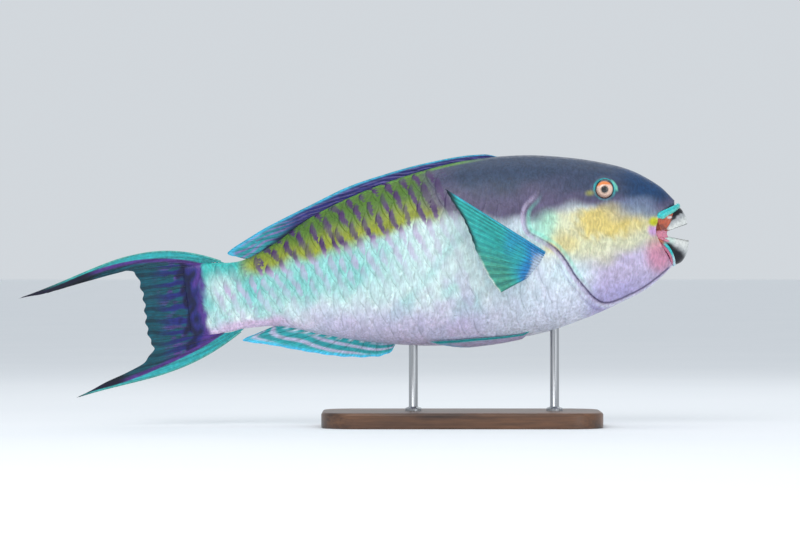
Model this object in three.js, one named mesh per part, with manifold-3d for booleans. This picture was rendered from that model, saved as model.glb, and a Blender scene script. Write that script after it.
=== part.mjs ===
// A life-size model of a male parrotfish, swimming with its fins folded and its beak open,
// held over a flat base by two short rods.
//
// Millimetres, +Z up. The fish looks along +X and its right side faces -Y. The origin is the
// middle of the base's underside. The fish itself is drawn in a frame of its own, from the
// root of the tail fin forward along the body, and that frame is then pitched nose up.

import * as THREE from 'three';
import { mergeVertices } from 'three/addons/utils/BufferGeometryUtils.js';
import Module from 'manifold-3d';

const wasm = await Module();
wasm.setup();
const { Manifold, Mesh: SolidMesh } = wasm;

// Driving dimensions
const NOSE_UP = THREE.MathUtils.degToRad(7.5);
const TAIL_ROOT_HEIGHT = 113;
const BALANCE = 236; // from the tail's root to the point over the middle of the base
const GAP = 0.3;
const BODY_FULLNESS = 0.92; // power of the section's sine and cosine: 1 is an ellipse
const FLANK_SPREAD = 0.19; // evens out the steps round the tall, narrow section

// The body's sections from the tail's root forward. side, back and belly are how far forward
// the section stands at its widest line, its top and its bottom, which lean apart only at the
// muzzle. top and bottom are its heights, half its half width and wide the height of its
// widest line, all from the axis that runs from the tail's root to the mouth.
const SECTIONS = [
  { side: 0, back: 0, belly: 0, top: 32, bottom: -32, half: 3, wide: 0 },
  { side: 14, back: 14, belly: 14, top: 31.5, bottom: -32, half: 6.5, wide: 0 },
  { side: 40, back: 40, belly: 40, top: 30, bottom: -30.5, half: 11.5, wide: 0 },
  { side: 70, back: 70, belly: 70, top: 40, bottom: -33, half: 16, wide: 2 },
  { side: 105, back: 105, belly: 105, top: 59, bottom: -45, half: 22, wide: 5 },
  { side: 150, back: 150, belly: 150, top: 75, bottom: -58, half: 29, wide: 8 },
  { side: 200, back: 200, belly: 200, top: 86.5, bottom: -67.5, half: 34.5, wide: 10 },
  { side: 250, back: 250, belly: 250, top: 92.5, bottom: -71, half: 37.5, wide: 11 },
  { side: 300, back: 300, belly: 300, top: 91, bottom: -69, half: 38, wide: 11 },
  { side: 340, back: 340, belly: 340, top: 84, bottom: -61, half: 36, wide: 10 },
  { side: 375, back: 375, belly: 375, top: 74, bottom: -50.5, half: 31.5, wide: 9 },
  { side: 396, back: 400, belly: 398, top: 63, bottom: -42, half: 25.5, wide: 7 },
  { side: 406, back: 421, belly: 413, top: 47, bottom: -32.5, half: 19.5, wide: 6 },
  { side: 411, back: 432, belly: 422.5, top: 33, bottom: -25, half: 16, wide: 5 },
];
const TAIL_CUT = 58;
const MOUTH_BACK = [398, 5];
const MOUTH_SHRINK = 0.72; // size of the mouth's inner ring against the rim of the lips
const MOUTH_INSET = 3;

// Swimming bends the rear of the body towards the far side, and the tail fin with it.
const BEND = { from: 150, reach: 310, sweep: 26 };

// The free edge of the gill cover, from the nape down and forward under the throat
const GILL_EDGE = [
  [309, 52], [299, 43], [296, 33], [298, 22], [308, 14], [319, 5],
  [327, -7], [334, -22], [342, -35], [351, -47], [356, -58],
];
// The front edge of its plate, down behind the eye to the corner of the jaw
const GILL_FRONT = [
  [322, 50], [339, 42], [347, 28], [350, 10], [351, -10], [354, -30], [359, -50],
];
const GILL_COVER = { thick: 4, proud: 1.3, fromMiddle: 3 };
const SCALE_RELIEF = 0.4; // rise and fall of the big scales on the trunk
const SCALE_FADE = { from: 305, over: 30 };

// Eye
const EYE = { at: [370, 50.5], radius: 10.5, proud: 2.2, rim: 9.4, rimThick: 1.4 };
const NOSTRILS = [{ at: [384, 49], radius: 0.9 }, { at: [388.5, 46.5], radius: 1.1 }];

// Beak plates and lips: where each plate leaves the lip and where it ends, at the front and
// at the corner of the mouth, and its half widths there. bow carries the root's line forward
// between the two, and bulge swells the plate's face.
const UPPER_BEAK = {
  rootFront: [432.5, 26], rootCorner: [413, 9], edgeFront: [440.5, 11], edgeCorner: [416, 5.5],
  rootHalf: 12.5, edgeHalf: 11.5, bow: 0, bulge: 3.4, sink: 5, rootThick: 4.2, edgeThick: 1.2,
  lip: 2.7,
};
const LOWER_BEAK = {
  rootFront: [423.5, -22], rootCorner: [412, 1], edgeFront: [440, -5], edgeCorner: [416.5, 3],
  rootHalf: 12.2, edgeHalf: 10.8, bow: 4, bulge: 6, sink: 4, rootThick: 4.6, edgeThick: 1.2,
  lip: 2,
};
const LIP_FLATNESS = 0.8;

// Fins: outlines of the roots and free edges in the fish's own frame
const DORSAL = {
  front: 290, rear: 52,
  edge: [
    [284, 94.5], [251, 97], [211, 94.5], [179, 90], [144, 83], [108, 71], [72, 58.5],
    [54, 51], [30, 39], [38, 34],
  ],
  rays: 19, thick: 0.9, ridge: 0.55, rows: 2,
};
const ANAL = {
  front: 171, rear: 72,
  edge: [[168, -66.5], [152, -71], [120, -67], [89, -58.5], [58, -48.5], [33, -41], [46, -36.5]],
  rays: 12, thick: 0.8, ridge: 0.5, rows: 3,
};
const FIN_SINK = 4;
const PECTORAL = {
  root: [[309, 3], [302, -7], [291, -18]],
  edge: [[229, 69], [234, 57], [241, 42], [246, 25], [250, 7], [256, -11], [265, -28]],
  rays: 13, out: 34, lift: 6, thick: 0.9, ridge: 0.55, rows: 6,
};
const PELVIC = {
  front: 294, upperBack: 199, lowerBack: 232,
  upper: -72, lower: -87.5, // angles round the body of the fin's two edges, in degrees
  off: 1.6, rays: 5, thick: 0.8, ridge: 0.45, rows: 6,
};
const TAIL = {
  rootTop: [[20, 29.6], [3, 27]], rootBottom: [[3, -27], [29, -30.3]],
  edge: [
    [-163.5, 22.6], [-139, 24], [-110, 29], [-80.5, 35], [-58, 33], [-53, 20],
    [-51.5, 8], [-51.5, -4], [-52, -16], [-51, -28], [-49, -39], [-63, -51.6],
    [-91, -61], [-123, -72.6],
  ],
  upperBow: [[-8.5, 41], [15, 12.8]], lowerBow: [[-8, -24.4], [10, -2.7]],
  lobe: 0.3, rays: 15, thick: 0.9, ridge: 0.7, rows: 9, sink: 7,
};
const TAIL_SPLITS = [0, 0.31, 0.7, 1];

// Stand
const BASE = { length: 250, width: 124, height: 14, corner: 30, bevel: 2 };
const ROD = { radius: 4, sides: 16, front: 311, rear: 184 };

// Looks
const finish = (color, roughness, metalness = 0) =>
  new THREE.MeshStandardMaterial({ color, roughness, metalness });
const SLATE_AND_LILAC = finish(0x8f8fb0, 0.45);
const TEAL_AND_LILAC = finish(0x8fc4c0, 0.45);
const AQUA = finish(0x62c9c8, 0.4);
const TURQUOISE = finish(0x2aa5ab, 0.4);
const INDIGO = finish(0x27407f, 0.45);
const IVORY = finish(0xd5d6cf, 0.25);
const EYE_ORANGE = finish(0xe8b98c, 0.1);
const WALNUT = finish(0x4a3021, 0.5);
const STEEL = finish(0xa8abad, 0.3, 1);

const point = (x, y, z) => new THREE.Vector3(x, y, z);
const mix = (a, b, t) => a + (b - a) * t;

// Cubic through the values at the given knots, with slopes from their neighbours.
function smoothValue(knots, values, x) {
  const last = knots.length - 1;
  let i = 0;
  while (i < last - 1 && x > knots[i + 1]) i += 1;
  const slope = (k) => {
    const lo = Math.max(0, k - 1);
    const hi = Math.min(last, k + 1);
    return (values[hi] - values[lo]) / (knots[hi] - knots[lo]);
  };
  const step = knots[i + 1] - knots[i];
  const t = (x - knots[i]) / step;
  const t2 = t * t;
  const t3 = t2 * t;
  return (2 * t3 - 3 * t2 + 1) * values[i] + (t3 - 2 * t2 + t) * step * slope(i)
    + (3 * t2 - 2 * t3) * values[i + 1] + (t3 - t2) * step * slope(i + 1);
}

const SECTION_KNOTS = SECTIONS.map((s) => s.side);
const SECTION_END = SECTION_KNOTS[SECTION_KNOTS.length - 1];
function sectionAt(along) {
  const made = {};
  for (const name of ['side', 'back', 'belly', 'top', 'bottom', 'half', 'wide']) {
    made[name] = smoothValue(SECTION_KNOTS, SECTIONS.map((s) => s[name]), along);
  }
  return made;
}

// How far the swimming bend carries a point sideways.
function swimBend(x) {
  const t = Math.max(0, BEND.from - x) / BEND.reach;
  return BEND.sweep * t * t;
}

// A point of the skin: along the body, round it from the right side (0) over the back
// (a quarter turn) to the left, and grown outwards by grow.
function skinPoint(along, round, grow = 0) {
  const s = sectionAt(along);
  const angle = round - FLANK_SPREAD * Math.sin(2 * round);
  const up = Math.sin(angle);
  const out = Math.cos(angle);
  const tall = (up >= 0 ? s.top - s.wide : s.wide - s.bottom) + grow;
  const x = s.side + (up >= 0 ? (s.back - s.side) * up * up : (s.side - s.belly) * up);
  const y = -Math.sign(out) * (s.half + grow) * Math.abs(out) ** BODY_FULLNESS;
  const z = s.wide + Math.sign(up) * tall * Math.abs(up) ** BODY_FULLNESS;
  return point(x, y + swimBend(x), z);
}

const backHeight = (x) => skinPoint(x, Math.PI / 2).z;
const bellyHeight = (x) => skinPoint(x, -Math.PI / 2).z;

// Half the body's width at a place on its side.
function halfWidthAt(x, z) {
  let lo = -Math.PI / 2;
  let hi = Math.PI / 2;
  for (let i = 0; i < 30; i += 1) {
    const mid = (lo + hi) / 2;
    if (skinPoint(x, mid).z < z) lo = mid;
    else hi = mid;
  }
  return Math.abs(skinPoint(x, lo).y - swimBend(x));
}

// A closed solid from rings of points that each go once round, capped by a point at each end.
function ringSolid(rings, startPoint, endPoint) {
  const count = rings[0].length;
  const points = [startPoint, ...rings.flat(), endPoint];
  const faces = [];
  const at = (ring, i) => 1 + ring * count + ((i + count) % count);
  for (let i = 0; i < count; i += 1) {
    faces.push(0, at(0, i + 1), at(0, i));
    for (let r = 0; r + 1 < rings.length; r += 1) {
      faces.push(at(r, i), at(r, i + 1), at(r + 1, i + 1));
      faces.push(at(r, i), at(r + 1, i + 1), at(r + 1, i));
    }
    faces.push(points.length - 1, at(rings.length - 1, i), at(rings.length - 1, i + 1));
  }
  return solidFrom(points, faces);
}

function solidFrom(points, faces) {
  const geometry = new THREE.BufferGeometry().setFromPoints(points).setIndex(faces);
  return solidOf(geometry);
}

// A three.js geometry as a solid. A shape whose faces point inwards is turned round.
function solidOf(geometry) {
  const bare = geometry.clone();
  for (const name of Object.keys(bare.attributes)) {
    if (name !== 'position') bare.deleteAttribute(name);
  }
  const merged = mergeVertices(bare, 1e-4);
  const index = merged.index.array;
  const triVerts = [];
  for (let i = 0; i < index.length; i += 3) {
    const [a, b, c] = [index[i], index[i + 1], index[i + 2]];
    if (a !== b && b !== c && c !== a) triVerts.push(a, b, c);
  }
  const build = (corners) => new Manifold(new SolidMesh({
    numProp: 3,
    vertProperties: merged.attributes.position.array,
    triVerts: new Uint32Array(corners),
  }));
  const made = build(triVerts);
  return made.volume() > 0 ? made : build(triVerts.reverse());
}

// The largest closed surface of a solid.
function largest(solid) {
  return solid.decompose().sort((a, b) => b.volume() - a.volume())[0];
}

function meshOf(name, solid, material) {
  const { vertProperties, triVerts } = solid.getMesh();
  const geometry = new THREE.BufferGeometry();
  geometry.setAttribute('position', new THREE.BufferAttribute(vertProperties, 3));
  geometry.setIndex(new THREE.BufferAttribute(triVerts, 1));
  const flat = geometry.toNonIndexed();
  flat.computeVertexNormals();
  const mesh = new THREE.Mesh(flat, material);
  mesh.name = name;
  return mesh;
}

// Rings of the skin, from the tail's root to the lips. Every solid that follows the body uses
// these same rings and sides, so that a gap between two of them is even.
const BODY_SIDES = 40;
const RING_STRETCHES = [
  { from: 0, to: TAIL_CUT, steps: 8 },
  { from: TAIL_CUT + GAP, to: 300, steps: 36 },
  { from: 307, to: 396, steps: 11 },
  { from: 400, to: SECTION_END, steps: 3 },
];
const RING_PLACES = RING_STRETCHES.flatMap(({ from, to, steps }) =>
  Array.from({ length: steps + 1 }, (_, i) => mix(from, to, i / steps)));

// How far the scales raise and sink the skin, from nothing on the head to all on the trunk.
const scaleRelief = (ring, i) => {
  const share = THREE.MathUtils.clamp((SCALE_FADE.from - RING_PLACES[ring]) / SCALE_FADE.over, 0, 1);
  return SCALE_RELIEF * share * ((ring + i) % 2 ? -1 : 1);
};

const skinRing = (ring, grow) => Array.from({ length: BODY_SIDES }, (_, i) =>
  skinPoint(RING_PLACES[ring], (i / BODY_SIDES) * 2 * Math.PI, grow + scaleRelief(ring, i)));

// The body between two distances along it. Its front end turns in to the mouth.
function bodySolid({ from = 0, to = SECTION_END, grow = 0 }) {
  const used = RING_PLACES.map((place, ring) => ring)
    .filter((ring) => RING_PLACES[ring] >= from - 0.01 && RING_PLACES[ring] <= to + 0.01);
  const rings = used.map((ring) => skinRing(ring, grow));
  const middle = (ring) => {
    const along = RING_PLACES[ring];
    return point(along, swimBend(along), sectionAt(along).wide);
  };
  const last = used[used.length - 1];
  if (last < RING_PLACES.length - 1) return ringSolid(rings, middle(used[0]), middle(last));
  const rim = rings[rings.length - 1];
  const throat = point(MOUTH_BACK[0], 0, MOUTH_BACK[1]);
  rings.push(rim.map((p) => p.clone().lerp(point(p.x - MOUTH_INSET, 0, throat.z), 1 - MOUTH_SHRINK)));
  rings.push(rim.map((p) => p.clone().lerp(throat, 0.7)));
  return ringSolid(rings, middle(used[0]), throat);
}

// A prism along Y with the given outline in the fish's side view.
function sidePrism(outline, from = -90, to = 90) {
  const shape = new THREE.Shape(outline.map(([x, z]) => new THREE.Vector2(x, z)));
  const geometry = new THREE.ExtrudeGeometry(shape, { depth: to - from, bevelEnabled: false });
  geometry.rotateX(Math.PI / 2);
  geometry.translate(0, to, 0);
  return solidOf(geometry);
}

// Everything in front of the gill cover's edge, moved forward by shift.
function headRegion(shift) {
  const edge = GILL_EDGE.map(([x, z]) => [x + shift, z]);
  const [topX] = edge[0];
  const [lowX] = edge[edge.length - 1];
  return sidePrism([[topX, 130], ...edge, [lowX, -110], [520, -110], [520, 130]]);
}

// The strip that the gill cover takes, in front of its free edge.
function gillCoverRegion(margin) {
  const rear = GILL_EDGE.map(([x, z]) => [x - margin - 1, z + margin * Math.sign(z)]);
  const front = GILL_FRONT.map(([x, z]) => [x + margin, z + margin * Math.sign(z)]);
  return sidePrism([...rear, ...front.reverse()]);
}

// A closed vane: a grid of points across its rays and along them, with the same triangles on
// both faces, thickened along its normal.
function vaneSolid({ across, along, place, halfThick }) {
  const nearby = 1e-3;
  const normalAt = (a, r) => {
    const a0 = Math.max(0, a - nearby);
    const a1 = Math.min(1, a + nearby);
    const r0 = Math.max(0, r - nearby);
    const r1 = Math.min(1, r + nearby);
    const acrossStep = place(a1, r).sub(place(a0, r));
    const alongStep = place(a, r1).sub(place(a, r0));
    return acrossStep.cross(alongStep).normalize();
  };
  const points = [];
  for (const face of [1, -1]) {
    for (const a of across) {
      for (const r of along) {
        points.push(place(a, r).addScaledVector(normalAt(a, r), face * halfThick(a, r)));
      }
    }
  }
  const rows = along.length;
  const one = across.length * rows;
  const at = (face, i, j) => face * one + i * rows + j;
  const faces = [];
  for (let i = 0; i + 1 < across.length; i += 1) {
    for (let j = 0; j + 1 < rows; j += 1) {
      const [p, q, s, t] = [at(0, i, j), at(0, i + 1, j), at(0, i + 1, j + 1), at(0, i, j + 1)];
      faces.push(p, q, s, p, s, t);
      faces.push(p + one, s + one, q + one, p + one, t + one, s + one);
    }
  }
  const wall = (p, q) => faces.push(p, p + one, q + one, p, q + one, q);
  for (let i = 0; i + 1 < across.length; i += 1) {
    wall(at(0, i, 0), at(0, i + 1, 0));
    wall(at(0, i + 1, rows - 1), at(0, i, rows - 1));
  }
  for (let j = 0; j + 1 < rows; j += 1) {
    wall(at(0, 0, j + 1), at(0, 0, j));
    wall(at(0, across.length - 1, j), at(0, across.length - 1, j + 1));
  }
  return solidFrom(points, faces);
}

const evenSteps = (count, from = 0, to = 1) =>
  Array.from({ length: count + 1 }, (_, i) => mix(from, to, i / count));

// Half the thickness of a fin with raised rays: thinner towards the free edge.
function rayed({ rays, thick, ridge }) {
  return (a, r) => {
    const crest = 0.5 + 0.5 * Math.cos(2 * Math.PI * a * rays);
    const taper = mix(1, 0.62, r);
    return 0.5 * (thick + 2 * ridge * crest * (1 - 0.75 * r)) * taper;
  };
}

const curve2 = (pairs) =>
  new THREE.SplineCurve(pairs.map(([x, z]) => new THREE.Vector2(x, z)));

// A fin that stands on the back or the belly, its rays swept towards the tail.
function midlineFin(spec, rootHeight, sink) {
  const edge = curve2(spec.edge);
  const place = (a, r) => {
    const rootX = mix(spec.front, spec.rear, a);
    const tip = edge.getPoint(a);
    const x = mix(rootX, tip.x, r);
    const z = mix(rootHeight(rootX) + sink, tip.y, r);
    return point(x, swimBend(x), z);
  };
  return vaneSolid({
    across: evenSteps(2 * spec.rays),
    along: evenSteps(spec.rows),
    place,
    halfThick: rayed(spec),
  });
}

// The fin behind the gill cover, half open, side 1 for the fish's right and -1 for its left.
function pectoralFin(side) {
  const root = curve2(PECTORAL.root);
  const edge = curve2(PECTORAL.edge);
  const place = (a, r) => {
    const base = root.getPoint(a);
    const tip = edge.getPoint(a);
    const inset = base.clone().lerp(tip, -0.1);
    const flat = inset.lerp(tip, r);
    const start = halfWidthAt(base.x, base.y) - 3 - 4 * Math.max(0, 1 - r / 0.12);
    const out = start + PECTORAL.out * Math.sin(r * 1.35) + PECTORAL.lift * Math.sin(a * Math.PI) * r;
    return point(flat.x, -side * out, flat.y);
  };
  return vaneSolid({
    across: evenSteps(2 * PECTORAL.rays),
    along: evenSteps(PECTORAL.rows),
    place,
    halfThick: rayed(PECTORAL),
  });
}

// The fin folded back along the belly, just clear of the skin behind its root.
function pelvicFin(side) {
  const place = (a, r) => {
    const back = mix(PELVIC.upperBack, PELVIC.lowerBack, a);
    const along = mix(PELVIC.front - 6 * a, back, r);
    const spread = Math.min(1, 0.35 + 1.1 * r);
    const middle = (PELVIC.upper + PELVIC.lower) / 2;
    const degrees = middle + (mix(PELVIC.upper, PELVIC.lower, a) - middle) * spread;
    const off = PELVIC.off - 5 * Math.max(0, 1 - r / 0.12) + 1.2 * r;
    const p = skinPoint(along, THREE.MathUtils.degToRad(degrees), off);
    return point(p.x, side * p.y, p.z);
  };
  return vaneSolid({
    across: evenSteps(2 * PELVIC.rays),
    along: evenSteps(PELVIC.rows),
    place,
    halfThick: rayed(PELVIC),
  });
}

// The tail fin between two shares of its span, counted from the upper leading edge.
function tailFin(from, to) {
  const edge = curve2(TAIL.edge);
  const root = curve2([...TAIL.rootTop, ...TAIL.rootBottom]);
  const place = (a, r) => {
    const base = root.getPoint(a);
    const tip = edge.getPoint(a);
    const bow = a < 0.5 ? TAIL.upperBow : TAIL.lowerBow;
    const share = Math.max(0, 1 - Math.min(a, 1 - a) / TAIL.lobe) ** 1.5;
    const start = base.clone().add(new THREE.Vector2(TAIL.sink, 0));
    const control = (k) => start.clone().lerp(tip, (k + 1) / 3)
      .add(new THREE.Vector2(...bow[k]).multiplyScalar(share));
    const ray = new THREE.CubicBezierCurve(start, control(0), control(1), tip);
    const at = ray.getPoint(r);
    return point(at.x, swimBend(at.x), at.y);
  };
  const steps = Math.round(2 * TAIL.rays * (to - from));
  return vaneSolid({
    across: evenSteps(steps, from, to),
    along: evenSteps(TAIL.rows),
    place,
    halfThick: rayed(TAIL),
  });
}

// A half-oval line round the muzzle, from the right corner of the mouth over the front.
function muzzleLine(corner, front, half, turn, bow = 0) {
  const forward = Math.sin(turn);
  const bowed = 4 * bow * forward * (1 - forward);
  return point(mix(corner[0], front[0], forward) + bowed, -half * Math.cos(turn),
    mix(corner[1], front[1], forward));
}

function muzzleOut(corner, front, half, turn) {
  const reach = Math.hypot(front[0] - corner[0], front[1] - corner[1]);
  const forward = half * Math.sin(turn);
  return point((forward * (front[0] - corner[0])) / reach, -reach * Math.cos(turn),
    (forward * (front[1] - corner[1])) / reach).normalize();
}

// One plate of the beak: a bowed blade that goes round the front of the mouth.
function beakPlate(spec, grow = 0) {
  const turns = evenSteps(16, -0.02 - grow / 30, Math.PI + 0.02 + grow / 30);
  const rings = turns.map((turn) => {
    const root = muzzleLine(spec.rootCorner, spec.rootFront, spec.rootHalf, turn, spec.bow);
    const edge = muzzleLine(spec.edgeCorner, spec.edgeFront, spec.edgeHalf, turn);
    const out = muzzleOut(spec.rootCorner, spec.rootFront, spec.rootHalf, turn);
    const height = edge.clone().sub(root);
    const length = height.length();
    const low = -(spec.sink + grow) / length;
    const high = 1 + grow / length;
    const at = (t, depth) => root.clone().addScaledVector(height, mix(low, high, t))
      .addScaledVector(out, depth);
    const bulge = spec.bulge * Math.sin(turn);
    const inner = (t) => -mix(spec.rootThick, spec.edgeThick, t) - grow;
    return [
      at(0, grow), at(0.35, grow + 0.95 * bulge), at(0.62, grow + bulge), at(0.86, grow + 0.6 * bulge),
      at(1, grow), at(1, inner(1)), at(0.6, inner(0.6) + 0.6 * bulge), at(0, inner(0)),
    ];
  });
  const centre = (ring) => ring.reduce((sum, p) => sum.add(p), point(0, 0, 0)).divideScalar(ring.length);
  return ringSolid(rings, centre(rings[0]), centre(rings[rings.length - 1]));
}

// The fleshy roll outside one plate's root.
function lipRoll(spec, grow = 0) {
  const turns = evenSteps(16, 0, Math.PI);
  const sides = 8;
  const rings = turns.map((turn) => {
    const root = muzzleLine(spec.rootCorner, spec.rootFront, spec.rootHalf, turn, spec.bow);
    const edge = muzzleLine(spec.edgeCorner, spec.edgeFront, spec.edgeHalf, turn);
    const out = muzzleOut(spec.rootCorner, spec.rootFront, spec.rootHalf, turn);
    const down = edge.clone().sub(root).normalize();
    const swell = 0.55 + 0.45 * Math.sin(turn);
    const centre = root.clone().addScaledVector(out, spec.lip * LIP_FLATNESS + GAP + 0.2);
    return Array.from({ length: sides }, (_, i) => {
      const angle = (i / sides) * 2 * Math.PI;
      return centre.clone()
        .addScaledVector(out, (spec.lip * LIP_FLATNESS * swell + grow) * Math.cos(angle))
        .addScaledVector(down, (spec.lip * swell + grow) * Math.sin(angle));
    });
  });
  const centre = (ring) => ring.reduce((sum, p) => sum.add(p), point(0, 0, 0)).divideScalar(ring.length);
  return ringSolid(rings, centre(rings[0]), centre(rings[rings.length - 1]));
}

// An eyeball set into the side of the head, side 1 for the fish's right and -1 for its left.
function eyeBall(side, grow = 0) {
  const [x, z] = EYE.at;
  const depth = halfWidthAt(x, z) + EYE.proud - EYE.radius;
  const ball = new THREE.SphereGeometry(EYE.radius + grow, 16, 9);
  ball.translate(x, -side * depth, z);
  return solidOf(ball);
}

function nostrilPit(side, { at: [x, z], radius }) {
  const pit = new THREE.SphereGeometry(radius, 8, 5);
  pit.scale(1, 1.6, 1);
  pit.translate(x, -side * halfWidthAt(x, z), z);
  return solidOf(pit);
}

// Raised rim of skin round the eye, lying on the side of the head.
function eyeRim(side) {
  const [x, z] = EYE.at;
  const half = halfWidthAt(x, z);
  const outward = point(half - halfWidthAt(x + 1, z), -side, half - halfWidthAt(x, z + 1)).normalize();
  const rim = new THREE.TorusGeometry(EYE.rim, EYE.rimThick, 6, 16);
  rim.applyQuaternion(new THREE.Quaternion().setFromUnitVectors(point(0, 0, 1), outward));
  rim.translate(x, -side * half, z);
  rim.translate(...outward.multiplyScalar(-EYE.rimThick / 3).toArray());
  return solidOf(rim);
}

function standBase() {
  const [w, h, c] = [BASE.length / 2, BASE.width / 2, BASE.corner];
  const shape = new THREE.Shape();
  shape.moveTo(-w + c, -h).lineTo(w - c, -h).absarc(w - c, -h + c, c, -Math.PI / 2, 0);
  shape.lineTo(w, h - c).absarc(w - c, h - c, c, 0, Math.PI / 2);
  shape.lineTo(-w + c, h).absarc(-w + c, h - c, c, Math.PI / 2, Math.PI);
  shape.lineTo(-w, -h + c).absarc(-w + c, -h + c, c, Math.PI, 1.5 * Math.PI);
  const slab = new THREE.ExtrudeGeometry(shape, {
    depth: BASE.height - 2 * BASE.bevel, bevelThickness: BASE.bevel, bevelSize: BASE.bevel,
    bevelOffset: -BASE.bevel, bevelSegments: 1, curveSegments: 6,
  });
  slab.translate(0, 0, BASE.bevel);
  return solidOf(slab);
}

// The fish's own frame in the part's frame.
const pitched = new THREE.Matrix4()
  .makeRotationY(-NOSE_UP)
  .setPosition(-BALANCE * Math.cos(NOSE_UP), 0, TAIL_ROOT_HEIGHT);

// A rod that stands on the base and ends just under the belly, in the part's frame.
function standRod(along, bodyAbove) {
  const belly = skinPoint(along, -Math.PI / 2).applyMatrix4(pitched);
  const top = belly.z + 6;
  const bottom = BASE.height + GAP;
  const rod = new THREE.CylinderGeometry(ROD.radius, ROD.radius, top - bottom, ROD.sides);
  rod.rotateX(Math.PI / 2);
  rod.translate(belly.x, belly.y, (top + bottom) / 2);
  return largest(solidOf(rod).subtract(bodyAbove));
}

const keepOut = bodySolid({ grow: GAP });

const upperBeak = largest(beakPlate(UPPER_BEAK).subtract(lipRoll(UPPER_BEAK, GAP)));
const lowerBeak = largest(beakPlate(LOWER_BEAK).subtract(lipRoll(LOWER_BEAK, GAP)));
const mouthRoom = beakPlate(UPPER_BEAK, GAP).add(beakPlate(LOWER_BEAK, GAP))
  .add(lipRoll(UPPER_BEAK, GAP)).add(lipRoll(LOWER_BEAK, GAP));

const headBody = (grow) => bodySolid({ from: 284, grow });
const innerBody = headBody(-GILL_COVER.thick);
let skull = headBody(0).intersect(headRegion(0));
const covers = {};
for (const [name, side] of [['right', 1], ['left', -1]]) {
  skull = skull.add(eyeRim(side)).subtract(eyeBall(side, GAP));
  for (const pit of NOSTRILS) skull = skull.subtract(nostrilPit(side, pit));
  const half = sidePrism([[250, -110], [420, -110], [420, 130], [250, 130]],
    side > 0 ? -90 : GILL_COVER.fromMiddle, side > 0 ? -GILL_COVER.fromMiddle : 90);
  covers[name] = largest(headBody(GILL_COVER.proud).intersect(headRegion(0)).intersect(gillCoverRegion(0))
    .subtract(innerBody).intersect(half));
  skull = skull.subtract(gillCoverRegion(GAP).intersect(half)
    .subtract(headBody(-GILL_COVER.thick - GAP)));
}
const head = largest(skull.subtract(mouthRoom));

const trunkBody = bodySolid({ from: TAIL_CUT + GAP, to: 370 });
const trunk = largest(trunkBody.subtract(headRegion(-GAP)));
const stalk = bodySolid({ to: TAIL_CUT });

const fish = new THREE.Group();
fish.name = 'fish';
const onSkin = (solid) => largest(solid.subtract(keepOut));
fish.add(
  meshOf('head', head, SLATE_AND_LILAC),
  meshOf('gill_cover_right', covers.right, SLATE_AND_LILAC),
  meshOf('gill_cover_left', covers.left, SLATE_AND_LILAC),
  meshOf('trunk', trunk, TEAL_AND_LILAC),
  meshOf('tail_stalk', stalk, AQUA),
  meshOf('dorsal_fin', onSkin(midlineFin(DORSAL, backHeight, -FIN_SINK)), INDIGO),
  meshOf('anal_fin', onSkin(midlineFin(ANAL, bellyHeight, FIN_SINK)), TURQUOISE),
  meshOf('beak_upper', upperBeak, IVORY),
  meshOf('beak_lower', lowerBeak, IVORY),
  meshOf('lip_upper', lipRoll(UPPER_BEAK), TURQUOISE),
  meshOf('lip_lower', lipRoll(LOWER_BEAK), TURQUOISE),
);
['upper', 'middle', 'lower'].forEach((name, i) => {
  const margin = 0.0035;
  const from = TAIL_SPLITS[i] + (i > 0 ? margin : 0);
  const to = TAIL_SPLITS[i + 1] - (i < 2 ? margin : 0);
  fish.add(meshOf(`tail_fin_${name}`, onSkin(tailFin(from, to)), INDIGO));
});
for (const [name, side] of [['right', 1], ['left', -1]]) {
  fish.add(
    meshOf(`eye_${name}`, eyeBall(side), EYE_ORANGE),
    meshOf(`pectoral_fin_${name}`, onSkin(pectoralFin(side)), TURQUOISE),
    meshOf(`pelvic_fin_${name}`, onSkin(pelvicFin(side)), AQUA),
  );
}
fish.applyMatrix4(pitched);

const bodyAbove = keepOut.transform(pitched.toArray());
const stand = new THREE.Group();
stand.name = 'stand';
stand.add(
  meshOf('stand_base', standBase(), WALNUT),
  meshOf('stand_rod_front', standRod(ROD.front, bodyAbove), STEEL),
  meshOf('stand_rod_rear', standRod(ROD.rear, bodyAbove), STEEL),
);

const parrotfish = new THREE.Group();
parrotfish.name = 'parrotfish';
parrotfish.add(fish, stand);

export default parrotfish;
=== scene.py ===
# A life-size model of a male parrotfish on its stand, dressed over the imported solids.
#
# The fish is worked out in a frame of its own, in millimetres: x runs forward from the root of
# the tail fin, z up, and the fish's right side faces -y. in_part() then pitches it nose up and
# puts it over the stand, in metres.

import math

import bpy
import numpy as np
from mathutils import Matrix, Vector


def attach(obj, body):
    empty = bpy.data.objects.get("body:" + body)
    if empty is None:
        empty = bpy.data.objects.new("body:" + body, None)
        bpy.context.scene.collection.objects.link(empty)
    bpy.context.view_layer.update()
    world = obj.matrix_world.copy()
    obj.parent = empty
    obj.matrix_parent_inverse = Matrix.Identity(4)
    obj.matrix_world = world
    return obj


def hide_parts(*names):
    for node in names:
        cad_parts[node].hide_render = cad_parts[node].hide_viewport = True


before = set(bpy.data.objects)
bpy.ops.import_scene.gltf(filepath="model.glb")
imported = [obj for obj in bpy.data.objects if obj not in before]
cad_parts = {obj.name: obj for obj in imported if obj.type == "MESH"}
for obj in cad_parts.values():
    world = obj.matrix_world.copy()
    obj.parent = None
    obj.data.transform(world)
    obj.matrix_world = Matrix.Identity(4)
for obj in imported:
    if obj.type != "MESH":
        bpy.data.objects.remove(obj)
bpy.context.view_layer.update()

MM = 0.001

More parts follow.
